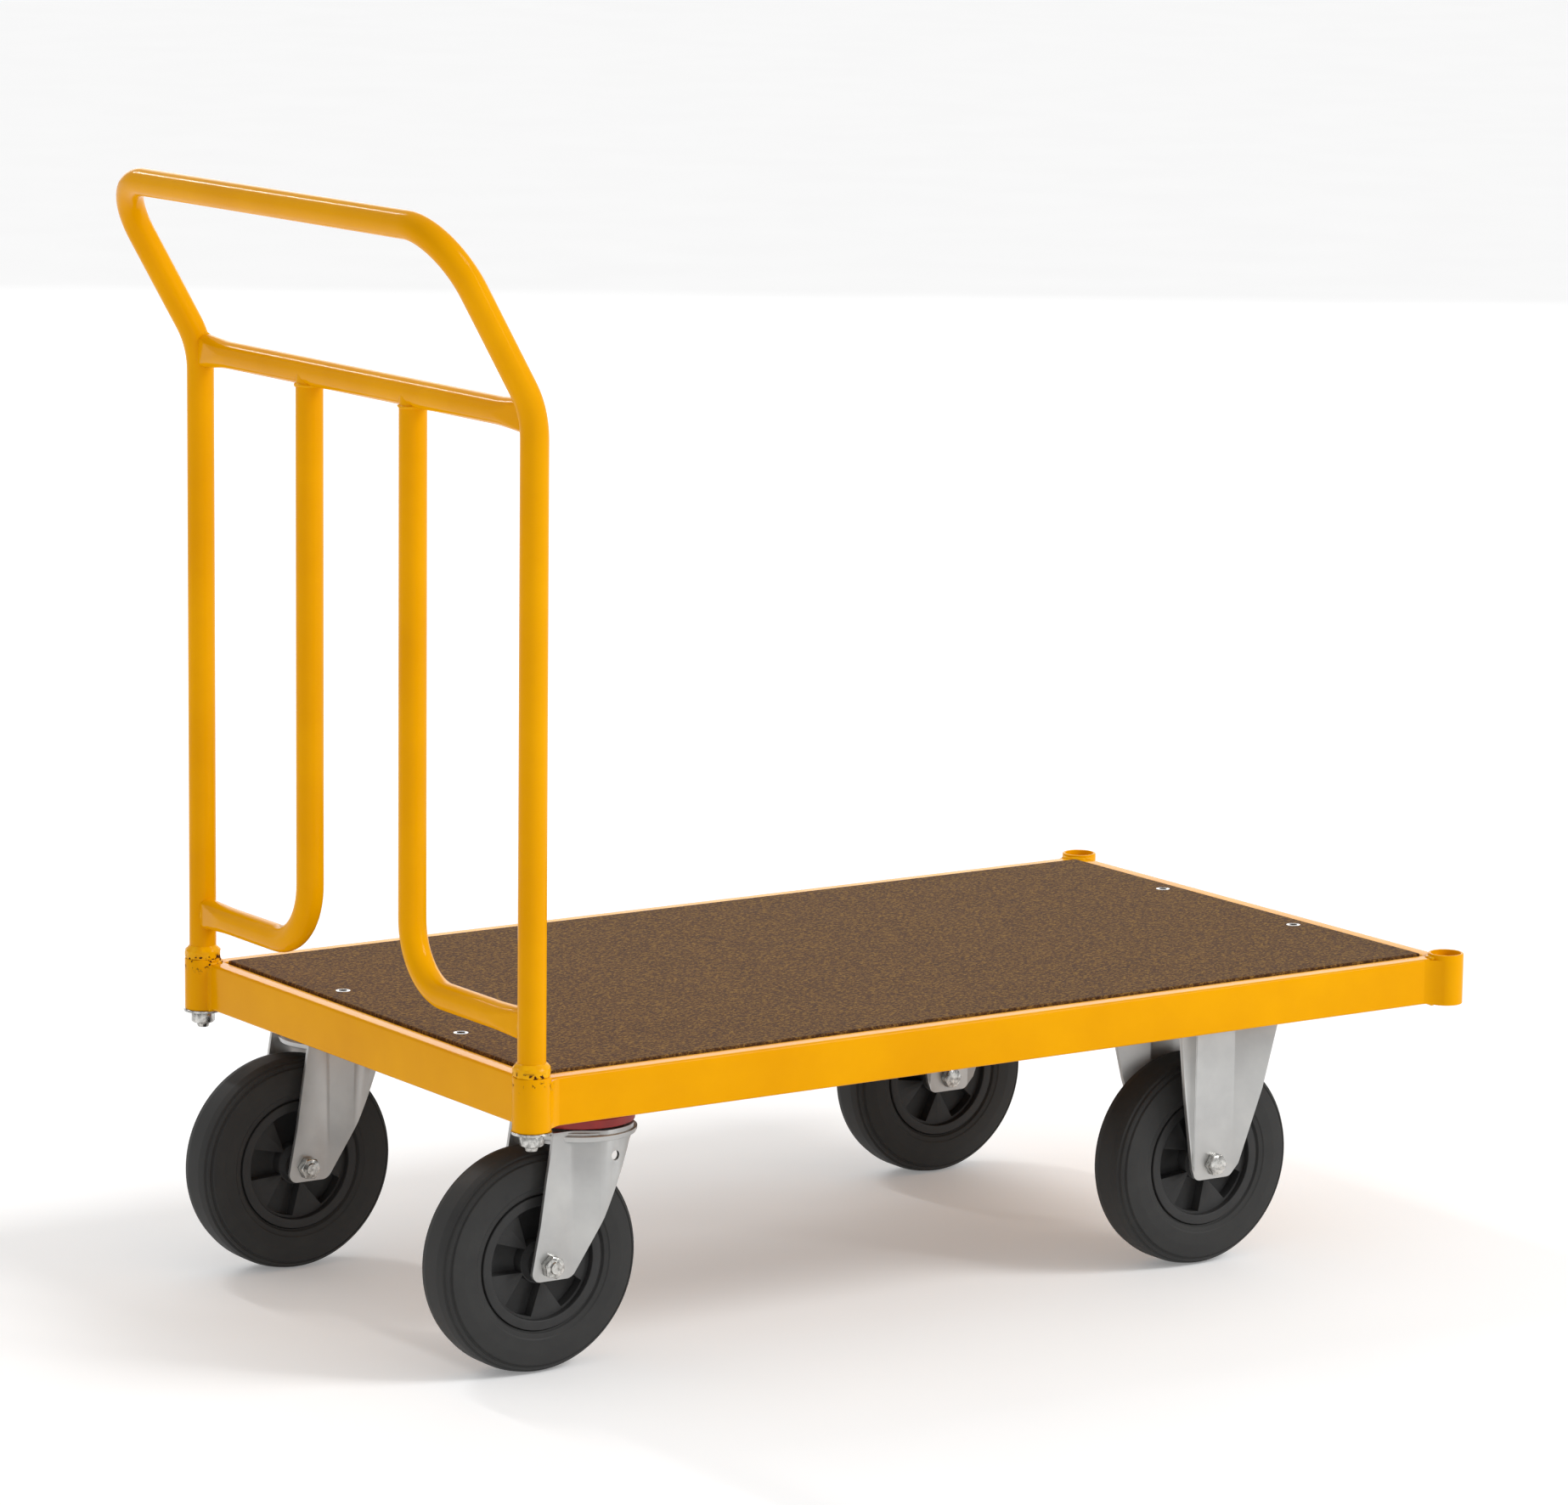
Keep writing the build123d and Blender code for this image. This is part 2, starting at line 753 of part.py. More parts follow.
with BuildPart() as king_nut:
    with BuildSketch(Plane.XY.offset(crown_under - king_nut_gap - king_nut_height)):
        RegularPolygon(hexagon_radius(king_nut_across_flats), 6)
        Circle(king_r + running_gap, mode=Mode.SUBTRACT)
    extrude(amount=king_nut_height)

# ======================= fixed bracket, axle over the origin =======================
bracket_side = [
    (-20.0, 86.0),
    (-27.0, 98.0),
    (-45.0, 170.0),
    (-57.0, plate_bottom),
    (57.0, plate_bottom),
    (45.0, 170.0),
    (27.0, 98.0),
    (20.0, 86.0),
]

with BuildPart() as bracket:
    for side in (-1, 1):
        with BuildSketch(Plane.XY.offset(wall_foot)):
            with BuildLine():
                Polyline(
                    (-wing_reach_x, side * wing_reach_y),
                    (-bracket_crease_half, side * fork_outer),
                    (bracket_crease_half, side * fork_outer),
                    (wing_reach_x, side * wing_reach_y),
                    (wing_reach_x, side * (wing_reach_y - wing_slant * bracket_wall)),
                    (bracket_crease_half - bracket_crease_shift, side * (fork_outer - bracket_wall)),
                    (bracket_crease_shift - bracket_crease_half, side * (fork_outer - bracket_wall)),
                    (-wing_reach_x, side * (wing_reach_y - wing_slant * bracket_wall)),
                    close=True,
                )
            make_face()
        extrude(amount=plate_bottom - wall_foot)
    extrude(side_view(bracket_side), amount=2 * plate_y, both=True, mode=Mode.INTERSECT)
    with BuildSketch(Plane.XZ):
        with Locations((0, wheel_r)):
            Circle(axle_hole_r)
    extrude(amount=2 * plate_y, both=True, mode=Mode.SUBTRACT)
    extrude(plate_outline.sketch, amount=plate_thickness)

# ======================= place the casters =======================
swivel_pieces = {
    "fork": fork.part,
    "top_plate": top_plate.part,
    "dust_ring": dust_ring.part,
    "swivel_balls": swivel_balls.part,
    "king_bolt": king_bolt.part,
    "king_nut": king_nut.part,
}
wheel_pieces = {
    "tyre": tyre.part,
    "rim": rim.part,
    "roller_bearing": roller_bearing.part,
    "axle_sleeve": axle_sleeve.part,
}
for side_name, y in (("right", -wheel_y), ("left", wheel_y)):
    swivel = f"swivel_{side_name}"
    fixed = f"fixed_{side_name}"
    for piece_name, piece in swivel_pieces.items():
        save(piece.moved(Location((king_x, y, 0))), f"{swivel}_{piece_name}")
    save(bracket.part.moved(Location((bracket_x, y, 0))), f"{fixed}_bracket")
    for caster, axle_x, head_side in (
        (swivel, king_x - swivel_offset, 1),
        (fixed, bracket_x, -1),
    ):
        place = Location((axle_x, y, wheel_r))
        for piece_name, piece in wheel_pieces.items():
            save(piece.moved(place), f"{caster}_{piece_name}")
        save(axle_bolt_part(head_side).moved(place), f"{caster}_axle_bolt")
        save(axle_nut_part(-head_side).moved(place), f"{caster}_axle_nut")
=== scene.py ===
import math

import bmesh
import bpy
from mathutils import Matrix, Vector


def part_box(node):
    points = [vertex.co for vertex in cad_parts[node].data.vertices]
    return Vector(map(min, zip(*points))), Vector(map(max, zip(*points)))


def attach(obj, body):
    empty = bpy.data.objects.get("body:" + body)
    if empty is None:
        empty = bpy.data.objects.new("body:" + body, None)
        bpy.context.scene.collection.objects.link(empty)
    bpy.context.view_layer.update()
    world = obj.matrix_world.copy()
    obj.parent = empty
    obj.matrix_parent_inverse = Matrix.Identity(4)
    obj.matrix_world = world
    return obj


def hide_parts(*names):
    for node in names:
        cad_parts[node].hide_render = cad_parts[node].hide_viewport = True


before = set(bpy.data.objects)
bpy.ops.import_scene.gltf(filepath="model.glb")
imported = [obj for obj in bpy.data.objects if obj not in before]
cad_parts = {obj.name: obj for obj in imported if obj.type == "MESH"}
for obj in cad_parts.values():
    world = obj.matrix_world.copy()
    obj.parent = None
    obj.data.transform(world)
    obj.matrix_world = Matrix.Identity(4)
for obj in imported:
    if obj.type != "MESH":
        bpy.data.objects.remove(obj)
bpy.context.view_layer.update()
MM = 0.001

# ---- sizes of the cart, in metres, read off the frame ----
socket_lo, socket_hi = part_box("corner_socket_rear_right")
front_lo, front_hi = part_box("corner_socket_front_right")
tyre_lo, tyre_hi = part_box("swivel_right_tyre")
bracket_lo, bracket_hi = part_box("fixed_right_bracket")
rail_lo, rail_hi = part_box("side_rail_right")
stay_lo, stay_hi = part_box("stay_tube_right")
collar_lo, collar_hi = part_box("handle_collars")
ring_lo, ring_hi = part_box("swivel_right_dust_ring")
board_lo, board_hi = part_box("deck_board")

rear_x = (socket_lo.x + socket_hi.x) / 2
front_x = (front_lo.x + front_hi.x) / 2
side_y = -(socket_lo.y + socket_hi.y) / 2
socket_r = (socket_hi.x - socket_lo.x) / 2
socket_foot, socket_top = socket_lo.z, socket_hi.z
rail_foot, rail_top = rail_lo.z, rail_hi.z
rail_out = -rail_lo.y
rail_outset = rail_out - side_y
rail_width = 18 * MM
tube_r = (stay_hi.x - stay_lo.x) / 2 - 0.02 * MM
swivel_x = (tyre_lo.x + tyre_hi.x) / 2
wheel_y = -(tyre_lo.y + tyre_hi.y) / 2
wheel_r = (tyre_hi.x - tyre_lo.x) / 2
wheel_z = 100 * MM
tyre_half = (tyre_hi.y - tyre_lo.y) / 2
king_x = (ring_lo.x + ring_hi.x) / 2
bracket_x = (bracket_lo.x + bracket_hi.x) / 2
plate_foot = 236 * MM
plate_top = 240 * MM
crossbar_z = 850 * MM
stay_y = stay_hi.y - tube_r
stay_run_z = 326 * MM
fork_outer = 36 * MM
socket_bore_r = 14.25 * MM
plate_hole_x, plate_hole_y = 52.5 * MM, 37.5 * MM
screw_y = 103.5 * MM
corners = [
    ("rear_right", rear_x, -side_y),
    ("rear_left", rear_x, side_y),
    ("front_right", front_x, -side_y),
    ("front_left", front_x, side_y),
]
wheels = [
    ("swivel_right", swivel_x, -wheel_y),
    ("swivel_left", swivel_x, wheel_y),
    ("fixed_right", bracket_x, -wheel_y),
    ("fixed_left", bracket_x, wheel_y),
]
swivel_heads = [(label, king_x, y) for label, x, y in wheels[:2]]


# ======================= working by hand =======================
def let_go():
    """Leaves edit mode and lets go of every object."""
    if bpy.context.object and bpy.context.object.mode != "OBJECT":
        bpy.ops.object.mode_set(mode="OBJECT")
    bpy.ops.object.select_all(action="DESELECT")


def take(piece):
    """Makes this the only selected object."""
    let_go()
    bpy.context.view_layer.objects.active = piece
    piece.select_set(True)


def named(name):
    """Names the primitive that was just added and settles its place and size into its mesh."""
    piece = bpy.context.object
    piece.name = name
    piece.data.name = name
    bpy.ops.object.transform_apply(location=True, rotation=True, scale=True)
    return piece


def edit(piece, kind="VERT"):
    take(piece)
    bpy.ops.object.mode_set(mode="EDIT")
    bpy.ops.mesh.select_mode(type=kind)


def pick(piece, kind, test):
    """In edit mode, selects the points, edges or faces whose middle passes the test."""
    bpy.ops.mesh.select_mode(type=kind)
    bpy.ops.mesh.select_all(action="DESELECT")
    shape = bmesh.from_edit_mesh(piece.data)
    parts = {"VERT": shape.verts, "EDGE": shape.edges, "FACE": shape.faces}[kind]
    for part in parts:
        if kind == "VERT":
            middle = part.co
        elif kind == "EDGE":
            middle = (part.verts[0].co + part.verts[1].co) / 2
        else:
            middle = part.calc_center_median()
        if test(middle, part):
            part.select_set(True)
    shape.select_flush_mode()
    bmesh.update_edit_mesh(piece.data)


def point_at(name, place):
    """A new piece that is one selected point in edit mode, ready to be drawn out."""
    let_go()
    bpy.ops.mesh.primitive_plane_add(size=0.002, location=place)
    piece = named(name)
    edit(piece)
    bpy.ops.mesh.select_all(action="SELECT")
    bpy.ops.mesh.merge(type="CENTER")
    return piece


def draw_through(points):
    """Draws edges from the selected point, the first in the list, through the others."""
    for here, there in zip(points, points[1:]):
        step = Vector(there) - Vector(here)
        bpy.ops.mesh.extrude_region_move(TRANSFORM_OT_translate={"value": step})


def close_up(piece):
    """Merges doubled points, turns every normal outwards and leaves edit mode."""
    bpy.ops.mesh.select_all(action="SELECT")
    bpy.ops.mesh.remove_doubles(threshold=0.00001)
    bpy.ops.mesh.normals_make_consistent(inside=False)
    bpy.ops.object.mode_set(mode="OBJECT")


def rounded(corner_points, steps=5):
    """Plan points from (x, y, radius) corners, with an arc of short runs at each rounded corner."""
    points = []
    count = len(corner_points)
    for i, (x, y, radius) in enumerate(corner_points):
        here = Vector((x, y))
        if not radius:
            points.append((x, y))
            continue
        back = (Vector(corner_points[i - 1][:2]) - here).normalized()
        ahead = (Vector(corner_points[(i + 1) % count][:2]) - here).normalized()
        half = back.angle(ahead) / 2
        centre = here + (back + ahead).normalized() * radius / math.sin(half)
        begin = here + back * radius / math.tan(half) - centre
        finish = here + ahead * radius / math.tan(half) - centre
        for k in range(steps + 1):
            arm = begin.lerp(finish, k / steps).normalized() * radius
            points.append(tuple(centre + arm))
    return points


def turned(name, section, steps=64, loop=False):
    """A piece turned about Z through the origin, from (radius, height) points; loop closes a ring's section."""
    line = [(radius, 0, height) for radius, height in section]
    piece = point_at(name, line[0])
    draw_through(line + line[:1] if loop else line)
    bpy.ops.mesh.select_all(action="SELECT")
    if loop:
        bpy.ops.mesh.remove_doubles(threshold=0.00001)
    bpy.ops.mesh.spin(steps=steps, angle=2 * math.pi, center=(0, 0, 0), axis=(0, 0, 1))
    close_up(piece)
    return piece


def slab(name, outline, low, high, plane="XY"):
    """A flat outline made solid between two levels: XY lies level, XZ stands facing sideways."""
    def at(a, b, level):
        return (a, b, level) if plane == "XY" else (a, level, b)

    line = [at(a, b, low) for a, b in outline]
    piece = point_at(name, line[0])
    draw_through(line + line[:1])
    bpy.ops.mesh.select_all(action="SELECT")
    bpy.ops.mesh.remove_doubles(threshold=0.00001)
    bpy.ops.mesh.edge_face_add()
    rise = Vector(at(0, 0, high - low))
    bpy.ops.mesh.extrude_region_move(TRANSFORM_OT_translate={"value": rise})
    close_up(piece)
    return piece


def block(name, low, high):
    """A cube primitive sized between two corners."""
    let_go()
    middle = (Vector(low) + Vector(high)) / 2
    bpy.ops.mesh.primitive_cube_add(size=1, location=middle, scale=Vector(high) - Vector(low))
    return named(name)


def soften(piece, width, segments=2, angle=30):
    """Rounds the edges that turn by more than the angle."""
    take(piece)
    bpy.ops.object.modifier_add(type="BEVEL")
    rounding = piece.modifiers[-1]
    rounding.width = width
    rounding.segments = segments
    rounding.limit_method = "ANGLE"
    rounding.angle_limit = math.radians(angle)
    bpy.ops.object.modifier_apply(modifier=rounding.name)


def cut(piece, tool, how="DIFFERENCE"):
    """Cuts the piece with another, which is used up."""
    take(piece)
    bpy.ops.object.modifier_add(type="BOOLEAN")
    cutting = piece.modifiers[-1]
    cutting.object = tool
    cutting.operation = how
    cutting.solver = "EXACT"
    bpy.ops.object.modifier_apply(modifier=cutting.name)
    take(tool)
    bpy.ops.object.delete()


def join(pieces, name):
    """Several closed shells as one piece."""
    take(pieces[0])
    for piece in pieces[1:]:
        piece.select_set(True)
    bpy.ops.object.join()
    pieces[0].name = name
    pieces[0].data.name = name
    return pieces[0]


def set_down(piece, where=(0, 0, 0), turn=(0, 0, 0)):
    """Turns the piece by three angles in degrees, moves it, and keeps both in its mesh."""
    take(piece)
    piece.rotation_euler = [math.radians(angle) for angle in turn]
    piece.location = where
    bpy.ops.object.transform_apply(location=True, rotation=True, scale=True)
    return piece


def copies(piece, spots):
    """A copy with its own mesh at every (name, place, turn), and the first model put away."""
    made = []
    for name, where, turn in spots:
        take(piece)
        bpy.ops.object.duplicate()
        twin = bpy.context.object
        twin.name = name
        twin.data.name = name
        made.append(set_down(twin, where, turn))
    take(piece)
    bpy.ops.object.delete()
    return made


def spots(prefix, places, height=0.0, turn=(0, 0, 0)):
    """The (name, place, turn) of a copy at each (label, x, y), all at one height."""
    return [(f"{prefix}_{label}", (x, y, height), turn) for label, x, y in places]


def mirrored(piece):
    """The piece and its mirror image across the XZ plane as one, meeting points merged."""
    take(piece)
    bpy.ops.object.modifier_add(type="MIRROR")
    mirror = piece.modifiers[-1]
    mirror.use_axis = (False, True, False)
    mirror.merge_threshold = 0.00002
    bpy.ops.object.modifier_apply(modifier=mirror.name)
    edit(piece)
    close_up(piece)


def roughen(piece, amount, seed):
    """Shifts each point a little, as hand-laid weld is uneven, and rounds the lumps off."""
    edit(piece)
    bpy.ops.mesh.select_all(action="SELECT")
    bpy.ops.transform.vertex_random(offset=amount, uniform=1.0, normal=0.0, seed=seed)
    bpy.ops.object.mode_set(mode="OBJECT")
    bpy.ops.object.modifier_add(type="SUBSURF")
    piece.modifiers[-1].levels = 1
    bpy.ops.object.modifier_apply(modifier=piece.modifiers[-1].name)


def fit(piece, finish, slot, body, *nodes, smooth=35):
    """Gives the piece its finish and its body, and puts it in place of the named frame nodes."""
    take(piece)
    bpy.ops.object.shade_smooth_by_angle(angle=math.radians(smooth))
    piece.data.materials.clear()
    piece.data.materials.append(finish)
    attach(piece, body)
    if nodes:
        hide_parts(*nodes)


# ======================= finishes =======================
class Finish:
    """One node material that is built up from noise, ramps and bumps in the piece's own coordinates."""

    def __init__(self, name, roughness, metallic=0.0, coat=0.0, coat_roughness=0.1, specular=0.5):
        self.material = bpy.data.materials.new(name)
        self.material.use_nodes = True
        self.nodes = self.material.node_tree.nodes
        self.links = self.material.node_tree.links
        self.shader = self.nodes["Principled BSDF"]
        self.shader.inputs["Roughness"].default_value = roughness
        self.shader.inputs["Metallic"].default_value = metallic
        self.shader.inputs["Coat Weight"].default_value = coat
        self.shader.inputs["Coat Roughness"].default_value = coat_roughness
        self.shader.inputs["Specular IOR Level"].default_value = specular
        self.place = self.nodes.new("ShaderNodeTexCoord").outputs["Object"]

    def node(self, kind, settings=(), **sockets):
        made = self.nodes.new(kind)
        for key, value in dict(settings).items():
            setattr(made, key, value)
        for key, value in sockets.items():
            socket = made.inputs[int(key[1:])] if key[0] == "_" else made.inputs[key.replace("__", " ")]
            if isinstance(value, bpy.types.NodeSocket):
                self.links.new(value, socket)
            else:
                socket.default_value = value
        return made

    def stretched(self, x, y, z):
        return self.node("ShaderNodeMapping", Vector=self.place, Scale=(x, y, z)).outputs["Vector"]

    def noise(self, scale, detail=3.0, rough=0.55, place=None):
        place = place or self.place
        made = self.node("ShaderNodeTexNoise", Vector=place, Scale=scale, Detail=detail, Roughness=rough)
        return made.outputs["Fac"]

    def ramp(self, value, stops):
        made = self.node("ShaderNodeValToRGB", Fac=value)
        band = made.color_ramp
        for spare in range(len(stops) - 2):
            band.elements.new(0.5)
        for element, (position, colour) in zip(band.elements, stops):
            element.position = position
            element.color = (*colour, 1.0)
        return made.outputs["Color"]

    def spread(self, value, low, high, to_low=0.0, to_high=1.0):
        return self.node(
            "ShaderNodeMapRange", Value=value, From__Min=low, From__Max=high, To__Min=to_low, To__Max=to_high
        ).outputs["Result"]

    def maths(self, operation, first, second=0.0):
        return self.node("ShaderNodeMath", {"operation": operation}, _0=first, _1=second).outputs["Value"]

    def blend(self, amount, first, second):
        made = self.node("ShaderNodeMix", {"data_type": "RGBA"}, _0=amount, _6=first, _7=second)
        return made.outputs[2]

    def colour(self, value):
        self.links.new(value, self.shader.inputs["Base Color"])

    def gloss(self, value):
        self.links.new(value, self.shader.inputs["Roughness"])

    def bumps(self, height, depth, strength=1.0):
        """Adds relief of that depth in metres over what is there already."""
        made = self.node("ShaderNodeBump", Height=height, Distance=depth, Strength=strength)
        socket = self.shader.inputs["Normal"]
        if socket.is_linked:
            self.links.new(socket.links[0].from_socket, made.inputs["Normal"])
        self.links.new(made.outputs["Normal"], socket)


def rgb(red, green, blue):
    """A screen colour from 0 to 255 as the shader's linear colour."""
    values = [channel / 255 for channel in (red, green, blue)]
    return tuple(v / 12.92 if v <= 0.04045 else ((v + 0.055) / 1.055) ** 2.4 for v in values)


def rust_zone(finish):
    """1 round the foot of the two handle collars, falling to 0 a little way out."""
    parts = finish.node("ShaderNodeSeparateXYZ", Vector=finish.place).outputs
    level = finish.spread(parts["Z"], socket_top + 3 * MM, socket_top + 6 * MM, 1.0, 0.0)
    across = finish.maths("SUBTRACT", finish.maths("ABSOLUTE", parts["Y"]), side_y)
    along = finish.maths("SUBTRACT", parts["X"], rear_x)
    across_squared = finish.maths("MULTIPLY", across, across)
    along_squared = finish.maths("MULTIPLY", along, along)
    reach = finish.maths("SQRT", finish.maths("ADD", across_squared, along_squared))
    near = finish.spread(reach, 19 * MM, 22 * MM, 1.0, 0.0)
    high = finish.spread(parts["Z"], socket_top - 14 * MM, socket_top - 5 * MM, 0.0, 1.0)
    return finish.maths("MULTIPLY", finish.maths("MULTIPLY", near, high), level)


# Yellow powder coat: slow colour drift, fine orange peel, chips to rusty steel round the rear collars.
paint = Finish("yellow_powder_coat", roughness=0.14, specular=0.045)
drift = paint.noise(9, 4)
yellow = paint.ramp(drift, [(0.3, rgb(230, 157, 0)), (0.7, rgb(240, 168, 0))])
nearness = rust_zone(paint)
chip_edge = paint.spread(paint.noise(190, 5, 0.6), 0.6, 0.64)
chips = paint.maths("MULTIPLY", chip_edge, nearness)
rust = paint.ramp(paint.noise(500, 3), [(0.3, rgb(58, 26, 12)), (0.7, rgb(120, 62, 20))])
paint.colour(paint.blend(chips, yellow, rust))
paint.gloss(paint.spread(chips, 0.0, 1.0, 0.14, 0.85))
paint.bumps(paint.noise(700, 2), 0.00005, 0.5)
paint.bumps(chips, 0.0003, 1.0)

# Weld and the painted metal beside it: the same yellow, a little deeper, with coarse ripples.
weld_paint = Finish("yellow_over_weld", roughness=0.22, specular=0.1)
weld_tone = weld_paint.ramp(weld_paint.noise(160, 4), [(0.3, rgb(234, 162, 0)), (0.72, rgb(244, 180, 2))])
weld_edge = weld_paint.spread(weld_paint.noise(150, 4, 0.6), 0.55, 0.585)
weld_chips = weld_paint.maths("MULTIPLY", weld_edge, rust_zone(weld_paint))
weld_paint.colour(weld_paint.blend(weld_chips, weld_tone, (*rgb(66, 26, 14), 1.0)))
weld_paint.gloss(weld_paint.spread(weld_chips, 0.0, 1.0, 0.22, 0.85))
weld_paint.bumps(weld_paint.noise(300, 3), 0.00025, 0.6)

# Film-faced board: brown resin film with a pressed grain of small specks and faint lengthwise streaks.
board_film = Finish("brown_film_board", roughness=0.7, specular=0.03)
film_base = board_film.ramp(board_film.noise(14, 5), [(0.3, rgb(88, 63, 42)), (0.7, rgb(100, 73, 49))])
specks = board_film.noise(300, 3, 0.8, board_film.stretched(1, 1.5, 1))
speck_stops = [(0.36, rgb(46, 29, 22)), (0.5, rgb(90, 61, 38)), (0.63, rgb(162, 124, 62))]
film_specks = board_film.ramp(specks, speck_stops)
streaks = board_film.noise(1.0, 4, 0.6, board_film.stretched(5, 90, 40))
film_tone = board_film.blend(0.75, film_base, film_specks)
worn = board_film.spread(streaks, 0.58, 0.8, 0.0, 0.2)
board_film.colour(board_film.blend(worn, film_tone, (*rgb(126, 98, 68), 1.0)))
board_film.gloss(board_film.spread(specks, 0.3, 0.7, 0.55, 0.72))
board_film.bumps(specks, 0.0001, 0.5)
weave = board_film.node(
    "ShaderNodeTexVoronoi", {"distance": "CHEBYCHEV"}, Vector=board_film.place, Scale=420.0, Randomness=0.15
).outputs["Distance"]
board_film.bumps(weave, 0.00025, 0.35)

# Zinc plate: pale satin steel with a soft cloudy tone and fine drawn lines.
zinc = Finish("satin_zinc_plate", roughness=0.38, metallic=0.85)
zinc_cloud = zinc.noise(26, 4, 0.55)
zinc.colour(zinc.ramp(zinc_cloud, [(0.3, rgb(182, 182, 181)), (0.7, rgb(198, 198, 196))]))
zinc.gloss(zinc.spread(zinc_cloud, 0.3, 0.7, 0.35, 0.42))
zinc.bumps(zinc.noise(1.0, 3, 0.5, zinc.stretched(500, 500, 60)), 0.00002, 0.35)

# Brighter plating on nuts, bolts and washers.
bolt_plate = Finish("bright_zinc_bolts", roughness=0.2, metallic=1.0)
bolt_cloud = bolt_plate.noise(240, 4)
bolt_plate.colour(bolt_plate.ramp(bolt_cloud, [(0.32, rgb(128, 127, 124)), (0.62, rgb(214, 213, 209))]))
bolt_plate.gloss(bolt_plate.spread(bolt_cloud, 0.3, 0.7, 0.14, 0.3))
bolt_plate.bumps(bolt_plate.noise(900, 2), 0.00004, 0.5)

chrome = Finish("screw_chrome", roughness=0.16, metallic=1.0)
chrome_cloud = chrome.noise(300, 3)
chrome.colour(chrome.ramp(chrome_cloud, [(0.3, rgb(206, 206, 205)), (0.7, rgb(236, 236, 236))]))
chrome.bumps(chrome.noise(1200, 2), 0.00002, 0.4)

bearing_steel = Finish("bearing_steel", roughness=0.3, metallic=1.0)
steel_cloud = bearing_steel.noise(200, 3)
bearing_steel.colour(bearing_steel.ramp(steel_cloud, [(0.3, rgb(120, 120, 122)), (0.7, rgb(168, 168, 168))]))
bearing_steel.bumps(bearing_steel.noise(800, 2), 0.00003, 0.4)

seal_red = Finish("red_seal_plastic", roughness=0.42)
seal_red.colour(seal_red.ramp(seal_red.noise(70, 4), [(0.3, rgb(132, 18, 16)), (0.7, rgb(160, 30, 22))]))
seal_red.bumps(seal_red.noise(600, 3), 0.00006, 0.5)

# Tyre: charcoal rubber, faintly cloudy and dusty, with a fine moulded grain.
rubber = Finish("charcoal_rubber", roughness=0.62, specular=0.25)
rubber_cloud = rubber.noise(38, 5, 0.6)
rubber.colour(rubber.ramp(rubber_cloud, [(0.3, rgb(45, 45, 45)), (0.7, rgb(54, 54, 53))]))
rubber.gloss(rubber.spread(rubber_cloud, 0.3, 0.7, 0.55, 0.72))
rubber.bumps(rubber.noise(900, 3), 0.00008, 0.5)

rim_black = Finish("black_rim_plastic", roughness=0.45, specular=0.3)
rim_cloud = rim_black.noise(60, 5, 0.6)
rim_black.colour(rim_black.ramp(rim_cloud, [(0.3, rgb(42, 42, 42)), (0.7, rgb(50, 50, 50))]))
rim_black.gloss(rim_black.spread(rim_cloud, 0.3, 0.7, 0.42, 0.58))
rim_black.bumps(rim_black.noise(700, 3), 0.00008, 0.5)

# ======================= rails and corner sockets =======================
rail_mid_y = rail_out - rail_width / 2
socket_bite = socket_r - 1.3 * MM


def socket_cut(piece, places):
    """Hollows the piece's ends to the round of the sockets it is welded to."""
    for x, y in places:
        let_go()
        middle = (x, y, (rail_foot + rail_top) / 2)
        bpy.ops.mesh.primitive_cylinder_add(vertices=96, radius=socket_bite, depth=0.08, location=middle)
        cut(piece, named("socket_cutter"))


for label, side in (("right", -1), ("left", 1)):
    near, far = sorted((side * rail_out, side * (rail_out - rail_width)))
    rail = block("side_rail", (rear_x - 2 * MM, near, rail_foot), (front_x + 2 * MM, far, rail_top))
    soften(rail, 2.5 * MM, 4)
    socket_cut(rail, [(rear_x, side * side_y), (front_x, side * side_y)])
    near, far = sorted((side * 260 * MM, side * 275 * MM))
    ledge_top = board_lo.z
    ledge = block("ledge", (rear_x + 17 * MM, near, ledge_top - 3 * MM), (front_x - 17 * MM, far, ledge_top))
    soften(ledge, 0.6 * MM)
    rail = join([rail, ledge], f"painted_side_rail_{label}")
    fit(rail, paint.material, "frame_paint", "root", f"side_rail_{label}")

for label, outer in (("rear", rear_x - 2 * MM), ("front", front_x + 2 * MM)):
    inner = outer + (rail_width if label == "rear" else -rail_width)
    low, high = sorted((outer, inner))
    rail = block(f"painted_end_rail_{label}", (low, -rail_out, rail_foot), (high, rail_out, rail_top))
    soften(rail, 2.5 * MM, 4)
    line = rear_x if label == "rear" else front_x
    socket_cut(rail, [(line, -side_y), (line, side_y)])
    # The part past each socket's middle belongs to the side rail.
    edit(rail)
    for side in (-1, 1):
        bpy.ops.mesh.select_all(action="SELECT")
        bpy.ops.mesh.bisect(
            plane_co=(0, side * (side_y - 15.5 * MM), 0),
            plane_no=(0, side, 0),
            use_fill=True,
            clear_outer=True,
        )
    close_up(rail)
    fit(rail, paint.material, "frame_paint", "root", f"end_rail_{label}")

socket_section = rounded([
    (socket_bore_r, socket_foot, 0.5 * MM),
    (socket_r, socket_foot, 0.9 * MM),
    (socket_r, socket_top, 1.1 * MM),
    (socket_bore_r, socket_top, 0.6 * MM),
], 3)
socket = turned("socket", socket_section, 72, loop=True)
for (label, x, y), made in zip(corners, copies(socket, spots("painted_socket", corners))):
    fit(made, paint.material, "frame_paint", "root", f"corner_socket_{label}")


